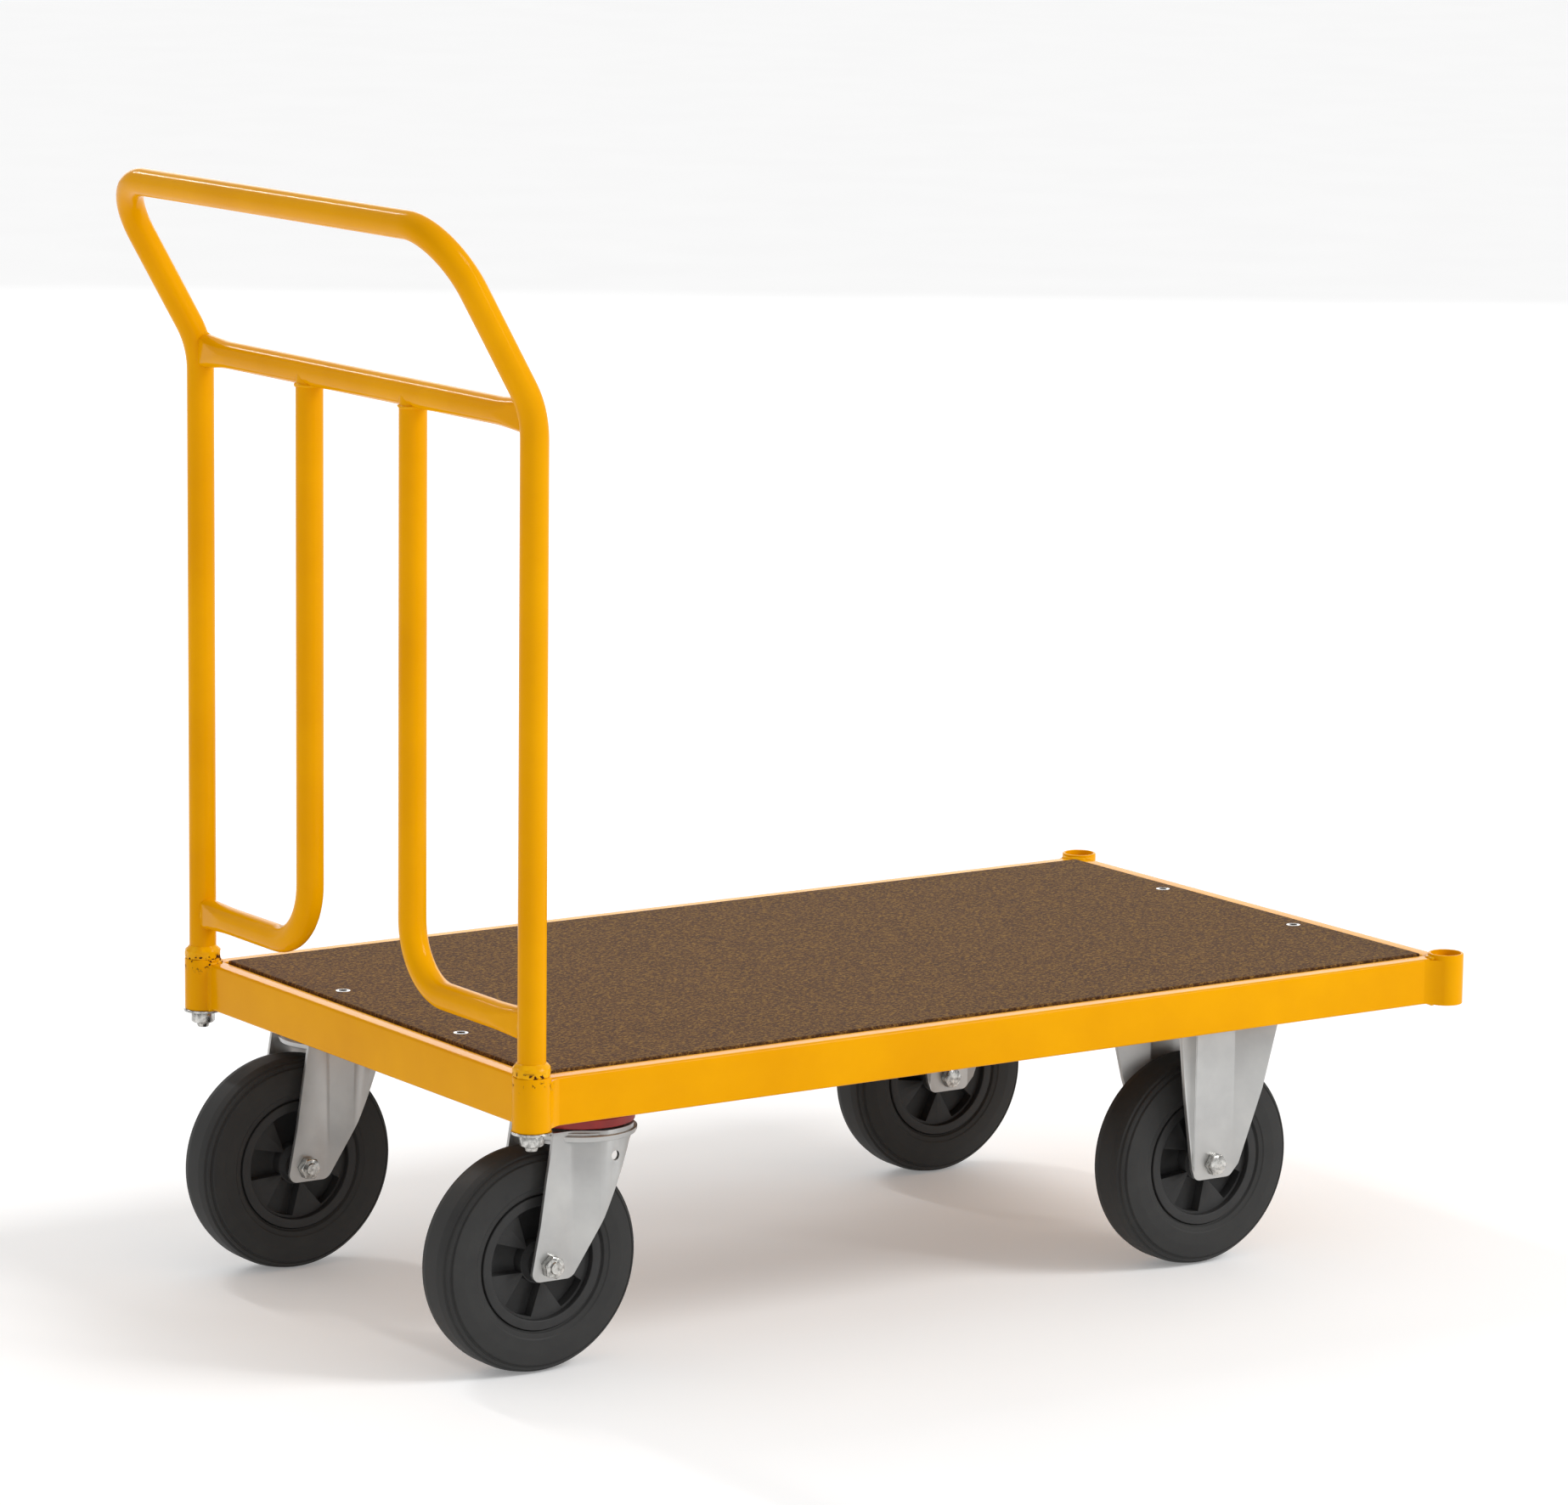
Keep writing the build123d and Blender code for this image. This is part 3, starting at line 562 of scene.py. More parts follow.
# ======================= welds =======================
def weld_fillet(name, reach, turn, swell):
    """A hollow fillet between a socket at the origin and the rail face that leaves it along +X."""
    begin = Vector((socket_r * math.cos(turn), -socket_r * math.sin(turn)))
    end = Vector((reach, -rail_outset + 0.05 * MM))
    hollow = Vector((socket_r + swell, -rail_outset - swell * 0.9))
    curve = [begin * (1 - t) ** 2 + hollow * 2 * t * (1 - t) + end * t ** 2 for t in (k / 9 for k in range(10))]
    outline = [tuple(point) for point in curve] + [(reach, 2 * MM), (10 * MM, 2 * MM), (8 * MM, -8 * MM)]
    fillet = slab(name, outline, rail_foot + 0.6 * MM, rail_top - 0.9 * MM)
    edit(fillet)
    for level in range(1, 14):
        bpy.ops.mesh.select_all(action="SELECT")
        height = rail_foot + level * 3 * MM
        bpy.ops.mesh.bisect(plane_co=(0, 0, height), plane_no=(0, 0, 1))
    bpy.ops.object.mode_set(mode="OBJECT")
    return fillet


side_fillet = weld_fillet("side_fillet", 27 * MM, math.radians(48), 2.2 * MM)
end_fillet = weld_fillet("end_fillet", 19.4 * MM, math.radians(16), 0.8 * MM)
for k, (label, x, y) in enumerate(corners):
    along_x = 1 if x < 0 else -1
    along_y = 1 if y < 0 else -1
    for kind, model in (("side", side_fillet), ("end", end_fillet)):
        take(model)
        bpy.ops.object.duplicate()
        weld = bpy.context.object
        # The side weld runs along X, the end weld along Y: the same shape with its axes exchanged.
        if kind == "side":
            weld.matrix_world = Matrix(((along_x, 0, 0, x), (0, along_y, 0, y), (0, 0, 1, 0), (0, 0, 0, 1)))
        else:
            weld.matrix_world = Matrix(((0, along_x, 0, x), (along_y, 0, 0, y), (0, 0, 1, 0), (0, 0, 0, 1)))
        bpy.ops.object.transform_apply(location=True, rotation=True, scale=True)
        edit(weld)
        close_up(weld)
        weld.name = f"weld_{label}_{kind}"
        edit(weld)
        bpy.ops.mesh.select_all(action="SELECT")
        bpy.ops.transform.vertex_random(offset=0.12 * MM, uniform=1.0, normal=0.0, seed=60 + k)
        bpy.ops.object.mode_set(mode="OBJECT")
        fit(weld, paint.material, "frame_paint", "root", smooth=60)
for model in (side_fillet, end_fillet):
    take(model)
    bpy.ops.object.delete()

# Curved beads over and under each corner, where the rail ends run onto the socket.
for level, drop in ((rail_top, 0.3 * MM), (rail_foot, -0.3 * MM)):
    for k, (label, x, y) in enumerate(corners):
        let_go()
        bpy.ops.mesh.primitive_circle_add(
            vertices=8,
            radius=(2.0 if x < 0 else 2.7) * MM,
            location=(x + socket_r, y, level - drop),
            rotation=(math.pi / 2, 0, 0),
        )
        bead = named(f"weld_{label}_{'top' if level == rail_top else 'foot'}")
        edit(bead)
        facing = {"rear_right": 45, "rear_left": -45, "front_right": 135, "front_left": 225}[label]
        begin = math.radians(facing - 58)
        bpy.ops.mesh.select_all(action="SELECT")
        bpy.ops.transform.rotate(
            value=-begin, orient_axis="Z", center_override=(x, y, level)
        )
        bpy.ops.mesh.edge_face_add()
        bpy.ops.mesh.spin(steps=20, angle=-math.radians(116), center=(x, y, level), axis=(0, 0, 1))
        close_up(bead)
        roughen(bead, 0.9 * MM, seed=k + 3)
        fit(bead, weld_paint.material, "frame_paint", "root", smooth=70)

# Lumpy collars where the handle stands on the rear sockets.
collar_r = (collar_hi.x - collar_lo.x) / 2 - 1 * MM
collar_section = rounded([
    (tube_r - 0.5 * MM, socket_top, 0),
    (collar_r - 0.3 * MM, socket_top, 0.6 * MM),
    (collar_r, socket_top + 7.4 * MM, 2.4 * MM),
    (tube_r + 0.3 * MM, socket_top + 12 * MM, 0.8 * MM),
    (tube_r - 0.5 * MM, socket_top + 12 * MM, 0),
], 3)
collars = []
for k, side in enumerate((-1, 1)):
    collar = turned("collar", collar_section, 26, loop=True)
    set_down(collar, (rear_x, side * side_y, 0))
    roughen(collar, 0.85 * MM, seed=21 + k)
    collars.append(collar)
fit(join(collars, "weld_collars"), weld_paint.material, "frame_paint", "root", "handle_collars", smooth=70)

# ======================= handle =======================
lean = math.radians(30)
bend_r = 90 * MM
corner_r = 60 * MM
lean_length = 180 * MM
handle_foot = 238 * MM
bend_z = 855 * MM
bend_start_z = bend_z - bend_r * math.tan(lean / 2)
lean_way = Vector((-math.sin(lean), 0, math.cos(lean)))
lean_run = lean_length - bend_r * math.tan(lean / 2) - corner_r

let_go()
bpy.ops.mesh.primitive_circle_add(vertices=40, radius=tube_r, location=(rear_x, -side_y, handle_foot))
handle = named("handle_hoop")
edit(handle)
bpy.ops.mesh.select_all(action="SELECT")
bpy.ops.mesh.edge_face_add()
bpy.ops.mesh.extrude_region_move(TRANSFORM_OT_translate={"value": (0, 0, bend_start_z - handle_foot)})
bpy.ops.mesh.delete(type="ONLY_FACE")
pick(handle, "VERT", lambda place, part: place.z > bend_start_z - 1e-5)
bpy.ops.mesh.spin(steps=14, angle=lean, center=(rear_x - bend_r, -side_y, bend_start_z), axis=(0, 1, 0))
bpy.ops.mesh.extrude_region_move(TRANSFORM_OT_translate={"value": lean_way * lean_run})
corner_start = Vector((rear_x, -side_y, bend_z)) + lean_way * (lean_length - corner_r)
corner_axis = lean_way.cross(Vector((0, 1, 0)))
bpy.ops.mesh.spin(
    steps=20, angle=-math.pi / 2, center=corner_start + Vector((0, corner_r, 0)), axis=corner_axis
)
bpy.ops.mesh.extrude_region_move(TRANSFORM_OT_translate={"value": (0, side_y - corner_r, 0)})
bpy.ops.object.mode_set(mode="OBJECT")
mirrored(handle)
fit(handle, paint.material, "frame_paint", "root", "handle_tube")


def pinch_end(piece, along, level, begin, length, half_height):
    """Squeezes a tube's end flat: narrower fore and aft, taller up and down, with a flat face between."""
    edit(piece)
    shape = bmesh.from_edit_mesh(piece.data)
    for point in shape.verts:
        travel = (along * point.co.y - begin) / length
        if travel <= 0 or abs(point.co.z - level) > 0.03:
            continue
        ease = min(travel, 1.0) ** 1.3
        rise = 1 + (half_height / tube_r - 1) * ease
        width = tube_r + (8 * MM - tube_r) * ease
        point.co.z = level + (point.co.z - level) * rise
        point.co.x = rear_x + max(-width, min(width, point.co.x - rear_x))
    bmesh.update_edit_mesh(piece.data)
    bpy.ops.object.mode_set(mode="OBJECT")


flare = 46 * MM
flare_end = side_y - 8 * MM
flare_start = flare_end - flare

let_go()
bpy.ops.mesh.primitive_circle_add(
    vertices=40, radius=tube_r, location=(rear_x, 0, crossbar_z), rotation=(math.pi / 2, 0, 0)
)
crossbar = named("handle_crossbar_tube")
edit(crossbar)
bpy.ops.mesh.select_all(action="SELECT")
bpy.ops.mesh.extrude_region_move(TRANSFORM_OT_translate={"value": (0, -flare_start, 0)})
for k in range(10):
    bpy.ops.mesh.extrude_region_move(TRANSFORM_OT_translate={"value": (0, -flare / 10, 0)})
bpy.ops.mesh.edge_face_add()
bpy.ops.object.mode_set(mode="OBJECT")
mirrored(crossbar)
for way in (-1, 1):
    pinch_end(crossbar, way, crossbar_z, flare_start, flare, 15.9 * MM)
fit(crossbar, paint.material, "frame_paint", "root", "handle_crossbar", smooth=24)

stay_bend_r = 60 * MM
stay_top = stay_hi.z
stay_end = -stay_lo.y
for label, side in (("right", -1), ("left", 1)):
    let_go()
    bpy.ops.mesh.primitive_circle_add(vertices=40, radius=tube_r, location=(rear_x, side * -stay_y, stay_top))
    stay = named(f"stay_{label}")
    edit(stay)
    bpy.ops.mesh.select_all(action="SELECT")
    bpy.ops.mesh.edge_face_add()
    drop = stay_top - stay_run_z - stay_bend_r
    bpy.ops.mesh.extrude_region_move(TRANSFORM_OT_translate={"value": (0, 0, -drop)})
    bpy.ops.mesh.delete(type="ONLY_FACE")
    pick(stay, "VERT", lambda place, part: place.z < stay_top - drop + 1e-5)
    centre = (rear_x, side * (-stay_y + stay_bend_r), stay_run_z + stay_bend_r)
    bpy.ops.mesh.spin(steps=16, angle=-side * math.pi / 2, center=centre, axis=(1, 0, 0))
    run = stay_end - flare - (-stay_y + stay_bend_r)
    bpy.ops.mesh.extrude_region_move(TRANSFORM_OT_translate={"value": (0, side * run, 0)})
    for k in range(10):
        bpy.ops.mesh.extrude_region_move(TRANSFORM_OT_translate={"value": (0, side * flare / 10, 0)})
    bpy.ops.mesh.edge_face_add()
    close_up(stay)
    pinch_end(stay, side, stay_run_z, stay_end - flare, flare, 14.4 * MM)
    fit(stay, paint.material, "frame_paint", "root", f"stay_tube_{label}", smooth=24)


def ring_bead(name, place, tall, turn, seed, flat=1.0):
    """A lumpy weld ring round a tube end that meets another tube."""
    let_go()
    bpy.ops.mesh.primitive_torus_add(
        major_radius=tube_r, minor_radius=1.7 * MM, major_segments=30, minor_segments=7, rotation=(turn, 0, 0)
    )
    bead = named(name)
    edit(bead)
    bpy.ops.mesh.select_all(action="SELECT")
    bpy.ops.transform.resize(value=(flat, 1, tall / tube_r), center_override=(0, 0, 0))
    bpy.ops.object.mode_set(mode="OBJECT")
    set_down(bead, place)
    roughen(bead, 0.8 * MM, seed)
    fit(bead, weld_paint.material, "frame_paint", "root", smooth=70)


for side, label in ((-1, "right"), (1, "left")):
    weld_y = side * (side_y - 10.9 * MM)
    for part, z, tall, seed in (("crossbar", crossbar_z, 15.5 * MM, 31), ("stay", stay_run_z, 14.2 * MM, 35)):
        ring_bead(f"{part}_weld_{label}", (rear_x, weld_y, z), tall, math.pi / 2, seed + side, 0.62)
    top_place = (rear_x, side * -stay_y, crossbar_z - 11.7 * MM)
    ring_bead(f"stay_top_weld_{label}", top_place, tube_r, 0, 39 + side)

# ======================= nuts, bolts and washers =======================
def hexagon(name, flats, height, washer_face=0.0):
    """A hexagon with its corners turned off at the top, standing on the origin."""
    let_go()
    across = flats / math.cos(math.radians(30))
    middle = (0, 0, height / 2)
    bpy.ops.mesh.primitive_cylinder_add(vertices=6, radius=across / 2, depth=height, location=middle)
    nut = named(name)
    barrel = turned("barrel", [
        (0, -0.1 * MM),
        (across / 2 + 0.2 * MM, -0.1 * MM),
        (across / 2 + 0.2 * MM, height - 1.0 * MM - washer_face),
        (flats / 2 * 0.97, height - washer_face),
        (flats / 2 * 0.97, height + 0.1 * MM),
        (0, height + 0.1 * MM),
    ], 48)
    cut(nut, barrel, "INTERSECT")
    soften(nut, 0.25 * MM, 1)
    return nut


def threaded(name, radius, length, pitch=1.25 * MM):
    """A bolt's end, ringed with thread and chamfered, standing on the origin."""
    section = [(0, 0), (radius - 0.5 * MM, 0)]
    height = 0.3 * MM
    while height + pitch < length - 0.8 * MM:
        section.append((radius - 0.45 * MM, height))
        section += [(radius, height + pitch * 0.45), (radius, height + pitch * 0.55)]
        height += pitch
    section += [(radius - 0.3 * MM, height), (radius - 0.9 * MM, length), (0, length)]
    return turned(name, section, 32)


def plain_washer(name, outer, inner, thickness):
    section = rounded([
        (inner, 0, 0),
        (outer, 0, 0.4 * MM),
        (outer, thickness, 0.7 * MM),
        (inner, thickness, 0.3 * MM),
    ], 3)
    return turned(name, section, 56, loop=True)


# Under the rear sockets: big washer, nut and stud end.
fittings = {"handle_washers": [], "handle_nuts": [], "handle_studs": []}
for side in (-1, 1):
    washer = plain_washer("washer", 17.95 * MM, 6.2 * MM, 2.4 * MM)
    fittings["handle_washers"].append(set_down(washer, (rear_x, side * side_y, 232.6 * MM)))
    nut = hexagon("nut", 19 * MM, 10.8 * MM)
    fittings["handle_nuts"].append(set_down(nut, (rear_x, side * side_y, 232.6 * MM), (180, 0, 8 * side)))
    stud = threaded("stud", 6 * MM, 40 * MM, 1.5 * MM)
    fittings["handle_studs"].append(set_down(stud, (rear_x, side * side_y, 257.5 * MM), (180, 0, 0)))
for node, pair in fittings.items():
    fit(join(pair, node.replace("handle", "socket")), bolt_plate.material, "zinc_steel", "root", node)

# Bolts, nuts and washers through the caster plates, one of each, then sixteen copies.
bolt_xs = [middle + way * plate_hole_x for middle in (king_x, bracket_x) for way in (-1, 1)]
bolt_ys = [side * (wheel_y + way * plate_hole_y) for side in (-1, 1) for way in (-1, 1)]
bolt_spots = [(x, y) for x in bolt_xs for y in bolt_ys]


def plate_spots(prefix, height, twist):
    """A spot at each plate hole, each copy turned a little further than the one before."""
    return [(f"{prefix}_{k}", (x, y, height), (0, 0, twist * k)) for k, (x, y) in enumerate(bolt_spots)]


head = hexagon("head", 16 * MM, 6.4 * MM, 0.4 * MM)
set_down(head, (0, 0, 236 * MM), (180, 0, 0))
shank = threaded("shank", 5 * MM, 24.4 * MM, 1.5 * MM)
set_down(shank, (0, 0, 231.5 * MM))
plate_bolt = join([head, shank], "plate_bolt")
made = copies(plate_bolt, plate_spots("plate_bolt", 0, 13))
fit(join(made, "caster_plate_bolts"), bolt_plate.material, "zinc_steel", "root", "caster_bolts")
plate_nut = hexagon("plate_nut", 16 * MM, 8.4 * MM)
made = copies(plate_nut, plate_spots("plate_nut", 244.5 * MM, 17))
fit(join(made, "caster_plate_nuts"), bolt_plate.material, "zinc_steel", "root", "caster_nuts")
plate_washer = plain_washer("plate_washer", 10 * MM, 5.2 * MM, 2 * MM)
made = copies(plate_washer, plate_spots("plate_washer", 242.5 * MM, 0))
fit(join(made, "caster_plate_washers"), bolt_plate.material, "zinc_steel", "root", "caster_washers")

# Deck screws: round heads with a bright rim and a drilled centre.
screw_lo, screw_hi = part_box("deck_screws")
screw_top = screw_hi.z
screw_section = [
    (0, 236 * MM), (2.9 * MM, 236 * MM), (2.9 * MM, screw_top - 3.6 * MM), (6.3 * MM, screw_top - 0.4 * MM),
] + rounded([
    (6.5 * MM, screw_top - 0.2 * MM, 0.2 * MM), (5.6 * MM, screw_top, 0.4 * MM), (3.6 * MM, screw_top, 0.4 * MM),
], 3) + [(3.2 * MM, screw_top - 1.2 * MM), (2.2 * MM, screw_top - 2.4 * MM), (0, screw_top - 2.5 * MM)]
screw = turned("screw", screw_section, 40)
screw_xs = (screw_lo.x + 6.6 * MM, screw_hi.x - 6.6 * MM)
screw_spots = [(x, y) for x in screw_xs for y in (-screw_y, screw_y)]
made = copies(screw, [(f"deck_screw_{k}", (x, y, 0), (0, 0, 0)) for k, (x, y) in enumerate(screw_spots)])
fit(join(made, "chrome_deck_screws"), chrome.material, "screw_chrome", "root", "deck_screws")

# Axle bolts: a hexagon head on one side, a nut with the thread standing out of it on the other.
for label, x, y in wheels:
    body = label if label.startswith("swivel") else "root"
    nut_side = -1 if body != "root" else 1
    nut = hexagon("axle_nut", 18 * MM, 8.5 * MM)
    set_down(nut, (0, 0, 36 * MM))
    end = threaded("axle_end", 6 * MM, 82 * MM, 1.5 * MM)
    set_down(end, (0, 0, -35.4 * MM))
    head = hexagon("axle_head", 18 * MM, 7.5 * MM)
    set_down(head, (0, 0, -36 * MM), (180, 0, 30))
    nut_turn = 11 if label.endswith("right") else 24
    set_down(nut, (0, 0, 0), (0, 0, nut_turn))
    bolt = join([end, head], f"axle_bolt_{label}")
    stand = (-90, 0, 0) if nut_side == 1 else (90, 0, 0)
    for piece in (nut, bolt):
        set_down(piece, (x, y, wheel_z), stand)
    nut.name = f"axle_nut_{label}"
    fit(nut, bolt_plate.material, "zinc_steel", body, f"{label}_axle_nut")
    fit(bolt, bolt_plate.material, "zinc_steel", body, f"{label}_axle_bolt")

# ======================= wheels =======================
# Turned about Z, then laid on their side; heights here are across the wheel.
half_tyre = rounded([
    (61.2 * MM, 0, 0),
    (61.2 * MM, 21.0 * MM, 0.4 * MM),
    (62.2 * MM, 21.4 * MM, 0.3 * MM),
    (63.4 * MM, 23.4 * MM, 0.9 * MM),
    (67.4 * MM, 23.9 * MM, 0.4 * MM),
    (68.6 * MM, 24.8 * MM, 0.6 * MM),
    (80 * MM, 25.0 * MM, 10 * MM),
    (91.2 * MM, 23.6 * MM, 1.0 * MM),
    (91.9 * MM, 21.4 * MM, 0.4 * MM),
    (93.4 * MM, 21.2 * MM, 0.4 * MM),
    (94.0 * MM, 21.9 * MM, 0.4 * MM),
    (95.9 * MM, 20.4 * MM, 0.7 * MM),
    (96.2 * MM, 17.8 * MM, 0.4 * MM),
    (97.6 * MM, 17.4 * MM, 0.5 * MM),
    (98.3 * MM, 16.9 * MM, 0.5 * MM),
    (99.9 * MM, 9.5 * MM, 8 * MM),
    (99.9 * MM, 0, 0),
], 4)
tyre_section = half_tyre + [(radius, -height) for radius, height in reversed(half_tyre[1:-1])]
tyre = turned("tyre", tyre_section, 144, loop=True)
for (label, x, y), made in zip(wheels, copies(tyre, spots("rubber_tyre", wheels, wheel_z, (90, 0, 0)))):
    fit(made, rubber.material, "tyre_rubber", f"{label}_wheel", f"{label}_tyre", smooth=40)

half_rim = [(10.3 * MM, 28.4 * MM)] + rounded([
    (14.1 * MM, 28.6 * MM, 0.4 * MM),
    (14.4 * MM, 26.8 * MM, 0),
    (17.2 * MM, 26.4 * MM, 1.0 * MM),
    (18.2 * MM, 17.2 * MM, 1.2 * MM),
], 3) + [(18.4 * MM, 17 * MM), (49.6 * MM, 17 * MM)] + rounded([
    (51.0 * MM, 17.0 * MM, 0.8 * MM),
    (51.8 * MM, 22.9 * MM, 0.8 * MM),
    (60.2 * MM, 22.9 * MM, 0.8 * MM),
    (60.8 * MM, 20.4 * MM, 0.4 * MM),
], 3) + [(60.9 * MM, 0)]
rim_section = half_rim + [(radius, -height) for radius, height in reversed(half_rim[:-1])]
rim = turned("rim", rim_section, 144, loop=True)

# Five wedge pockets each side leave broad webs that narrow to the hub.
web_face = 17 * MM
pocket_floor = 6 * MM
pocket_step = math.radians(2.5)
inner_arc = [(19.2 * MM, k * pocket_step) for k in range(13, -14, -1)]
outer_arc = [(49.2 * MM, k * pocket_step) for k in range(-7, 8)]
pockets = []
for face in (-1, 1):
    for k in range(5):
        middle = k * math.radians(72)
        outline = [(r * math.cos(a + middle), r * math.sin(a + middle)) for r, a in inner_arc + outer_arc]
        low, high = sorted((face * pocket_floor, face * 1.5 * web_face))
        pockets.append(slab("pocket", outline, low, high))
cut(rim, join(pockets, "pockets"))
soften(rim, 0.4 * MM, 2, 50)
rim_turns = {"swivel_right": -27, "swivel_left": -31, "fixed_right": -34, "fixed_left": -20}
rim_spots = [(f"moulded_rim_{label}", (x, y, wheel_z), (90, rim_turns[label], 0)) for label, x, y in wheels]
for (label, x, y), made in zip(wheels, copies(rim, rim_spots)):
    fit(made, rim_black.material, "rim_plastic", f"{label}_wheel", f"{label}_rim", smooth=40)

# ======================= swivel forks =======================
def walled(line, wall):
    """A plan line and its parallel, wall further in towards the wheel, as one outline."""
    inner = []
    for k, here in enumerate(line):
        before = Vector(line[max(k - 1, 0)])
        after = Vector(line[min(k + 1, len(line) - 1)])
        way = (after - before).normalized()
        inner.append((here[0] - way.y * wall, here[1] + way.x * wall))
    return list(line) + inner[::-1]


fork_wall = 3.5 * MM
wing = [(50 * MM * math.cos(math.radians(a)), -50 * MM * math.sin(math.radians(a))) for a in range(94, 32, -4)]
leg_plan = rounded([
    (-74 * MM, -fork_outer, 0),
    (-28 * MM, -fork_outer, 9 * MM),
    (-7 * MM, -48.4 * MM, 5 * MM),
    (*wing[0], 0),
], 6)
leg_plan = [point for point in leg_plan if point[0] <= -5.5 * MM] + wing
leg = slab("leg", walled(leg_plan, fork_wall), 80 * MM, 218 * MM)
leg_side = rounded([
    (-70 * MM, 86.7 * MM, 8 * MM),
    (-60 * MM, 137 * MM, 0),
    (-54.5 * MM, 174 * MM, 0),
    (-48 * MM, 213 * MM, 0),
    (-47 * MM, 220 * MM, 0),
    (38 * MM, 220 * MM, 0),
    (34.2 * MM, 215 * MM, 3 * MM),
    (26 * MM, 205 * MM, 0),
    (-28 * MM, 86.7 * MM, 8 * MM),
], 6)
cut(leg, slab("leg_side", leg_side, -56 * MM, -20 * MM, "XZ"), "INTERSECT")
let_go()
hole_place = (7.8 * MM, -48 * MM, 194.5 * MM)
bpy.ops.mesh.primitive_cylinder_add(
    vertices=32, radius=4.4 * MM, depth=0.04, location=hole_place, rotation=(math.pi / 2, 0, 0)
)
cut(leg, named("light_hole"))
soften(leg, 0.7 * MM, 2, 40)
mirrored(leg)
crown_top = ring_lo.z - 0.5 * MM
crown = turned("crown", [(8.6 * MM, crown_top - 3.4 * MM), (46 * MM, crown_top - 3.4 * MM)] + rounded([
    (48.4 * MM, crown_top - 3.4 * MM, 1.2 * MM),
    (48.8 * MM, crown_top - 10.9 * MM, 0.6 * MM),
    (51.0 * MM, crown_top - 10.7 * MM, 0.8 * MM),
    (51.0 * MM, crown_top - 7.0 * MM, 0.6 * MM),
    (51.95 * MM, crown_top - 6.2 * MM, 0.4 * MM),
    (51.95 * MM, crown_top, 3.6 * MM),
], 6) + [(40 * MM, crown_top), (8.6 * MM, crown_top)], 96, loop=True)
fork = join([leg, crown], "fork")
for (label, x, y), made in zip(swivel_heads, copies(fork, spots("pressed_fork", swivel_heads))):
    fit(made, zinc.material, "zinc_steel", label, f"{label}_fork")

ring_middle = (ring_lo.z + ring_hi.z) / 2
ring_section = rounded([
    (45.2 * MM, ring_lo.z + 0.1 * MM, 0.4 * MM),
    (50.0 * MM, ring_lo.z + 0.1 * MM, 1.0 * MM),
    (50.4 * MM, ring_middle - 0.6 * MM, 0),
    (49.9 * MM, ring_middle, 0),
    (50.4 * MM, ring_middle + 0.6 * MM, 0),
    (50.2 * MM, ring_hi.z - 0.1 * MM, 0.6 * MM),
    (45.2 * MM, ring_hi.z - 0.1 * MM, 0.4 * MM),
], 3)
dust_ring = turned("dust_ring", ring_section, 96, loop=True)
for (label, x, y), made in zip(swivel_heads, copies(dust_ring, spots("red_seal", swivel_heads))):
    fit(made, seal_red.material, "seal_plastic", "root", f"{label}_dust_ring")

# ======================= fixed brackets =======================
cheek_plan = rounded([
    (-58 * MM, -57.5 * MM, 0),
    (-22 * MM, -fork_outer, 2.5 * MM),
    (22 * MM, -fork_outer, 2.5 * MM),
    (58 * MM, -57.5 * MM, 0),
], 4)
cheek = slab("cheek", walled(cheek_plan, fork_wall), 80 * MM, 239 * MM)
cheek_side = rounded([
    (-20 * MM, 86 * MM, 8 * MM),
    (-27 * MM, 98 * MM, 6 * MM),
    (-45 * MM, 170 * MM, 0),
    (-57 * MM, 236.5 * MM, 0),
    (57 * MM, 236.5 * MM, 0),
    (45 * MM, 170 * MM, 0),
    (27 * MM, 98 * MM, 6 * MM),
    (20 * MM, 86 * MM, 8 * MM),
], 5)
cut(cheek, slab("cheek_side", cheek_side, -62 * MM, -20 * MM, "XZ"), "INTERSECT")
# The pressing leaves a sharp channel down the rear crease.
let_go()
groove_place = (-23.4 * MM, -37.3 * MM, 200 * MM)
bpy.ops.mesh.primitive_cylinder_add(vertices=16, radius=1.1 * MM, depth=0.2, location=groove_place)
cut(cheek, named("crease_groove"))
soften(cheek, 0.7 * MM, 2, 40)
mirrored(cheek)
plate_outline = rounded([
    (-67.5 * MM, -55 * MM, 8 * MM),
    (67.5 * MM, -55 * MM, 8 * MM),
    (67.5 * MM, 55 * MM, 8 * MM),
    (-67.5 * MM, 55 * MM, 8 * MM),
], 6)
plate = slab("plate", plate_outline, plate_foot, plate_top)
soften(plate, 0.7 * MM, 2, 40)
bracket = join([cheek, plate], "bracket")
for (label, x, y), made in zip(wheels[2:], copies(bracket, spots("pressed_bracket", wheels[2:]))):
    fit(made, zinc.material, "zinc_steel", "root", f"{label}_bracket")

# ======================= pieces kept from the frame =======================
kept = {
    "deck_board": board_film,
    "cross_channels": paint,
}
for label in ("swivel_right", "swivel_left", "fixed_right", "fixed_left"):
    kept[f"{label}_axle_sleeve"] = bearing_steel
    kept[f"{label}_roller_bearing"] = bearing_steel
for label in ("swivel_right", "swivel_left"):
    kept[f"{label}_king_bolt"] = bolt_plate
    kept[f"{label}_king_nut"] = bolt_plate
    kept[f"{label}_swivel_balls"] = bearing_steel
    kept[f"{label}_top_plate"] = zinc
for name, finish in kept.items():
    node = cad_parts[name]
    node.data.materials.clear()
    node.data.materials.append(finish.material)

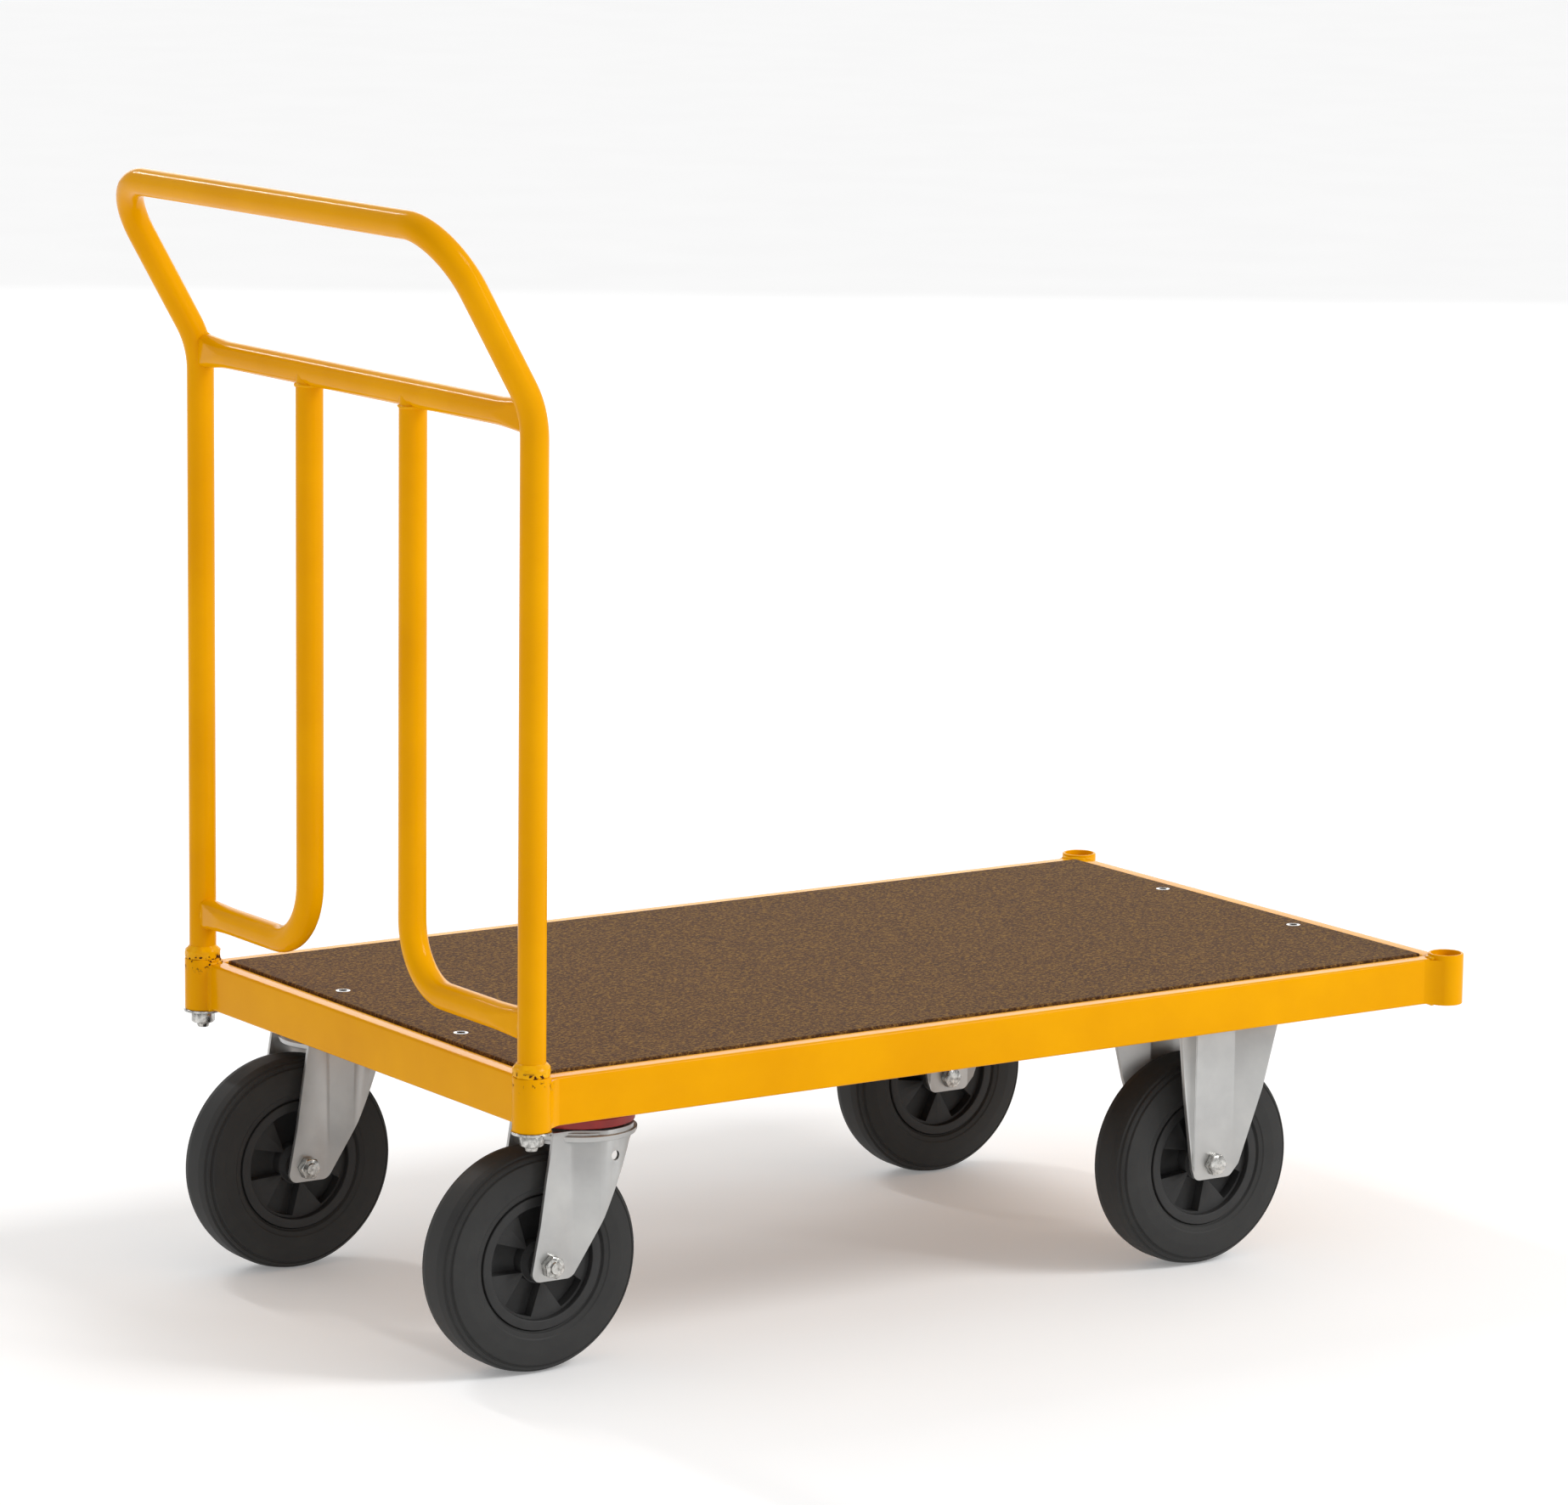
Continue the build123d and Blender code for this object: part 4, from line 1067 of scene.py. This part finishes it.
# ======================= floor, light and camera =======================
let_go()
bpy.ops.mesh.primitive_plane_add(size=60, location=(0, 0, 0))
floor = named("floor")
floor_finish = Finish("pale_floor", roughness=0.9, specular=0.1)
floor_cloud = floor_finish.noise(3, 2)
floor_finish.colour(floor_finish.ramp(floor_cloud, [(0.3, (0.86, 0.86, 0.86)), (0.7, (0.88, 0.88, 0.88))]))
floor_finish.shader.inputs["Emission Color"].default_value = (1, 1, 1, 1)
floor_finish.shader.inputs["Emission Strength"].default_value = 0.2
floor.data.materials.append(floor_finish.material)

world = bpy.data.worlds.new("studio")
world.use_nodes = True
world.node_tree.nodes["Background"].inputs["Color"].default_value = (1, 1, 1, 1)
world.node_tree.nodes["Background"].inputs["Strength"].default_value = 0.6
bpy.context.scene.world = world


def soft_sun(name, towards, strength, spread):
    """Even light over the whole floor, from the side that the vector points to."""
    let_go()
    bpy.ops.object.light_add(type="SUN", location=Vector(towards) * 3)
    lamp = bpy.context.object
    lamp.name = name
    lamp.data.energy = strength
    lamp.data.angle = math.radians(spread)
    lamp.rotation_euler = Vector(towards).to_track_quat("Z", "Y").to_euler()


def strip_light(name, place, target, size, power):
    """A long narrow lamp that leaves a streak of shine along the tubes."""
    let_go()
    bpy.ops.object.light_add(type="AREA", location=place)
    lamp = bpy.context.object
    lamp.name = name
    lamp.data.shape = "RECTANGLE"
    lamp.data.size, lamp.data.size_y = size
    lamp.data.energy = power
    lamp.rotation_euler = (Vector(target) - Vector(place)).to_track_quat("-Z", "Y").to_euler()


soft_sun("key_light", (0.42, -0.4, 0.5), 1.25, 20)
strip_light("right_strip", (2.4, -3.6, 2.0), (0, 0, 0.4), (0.2, 2.6), 24)
strip_light("handle_strip", (-0.6, 4.0, 3.8), (-0.5, 0, 1.0), (0.16, 2.0), 45)
strip_light("far_card", (4.5, 6.8, 2.5), (0, 0, 0.3), (9.0, 3.0), 125)

camera_data = bpy.data.cameras.new("camera")
camera_data.sensor_width = 36
camera_data.lens = 148.29
camera_data.clip_end = 200
camera = bpy.data.objects.new("camera", camera_data)
bpy.context.scene.collection.objects.link(camera)
camera.matrix_world = (
    Matrix.Translation((-3.3087, -4.879, 1.514))
    @ Matrix.Rotation(math.radians(-34.06), 4, "Z")
    @ Matrix.Rotation(math.radians(90 - 9.96), 4, "X")
    @ Matrix.Rotation(math.radians(0.66), 4, "Z")
)
bpy.context.scene.camera = camera
bpy.context.scene.view_settings.view_transform = "Standard"
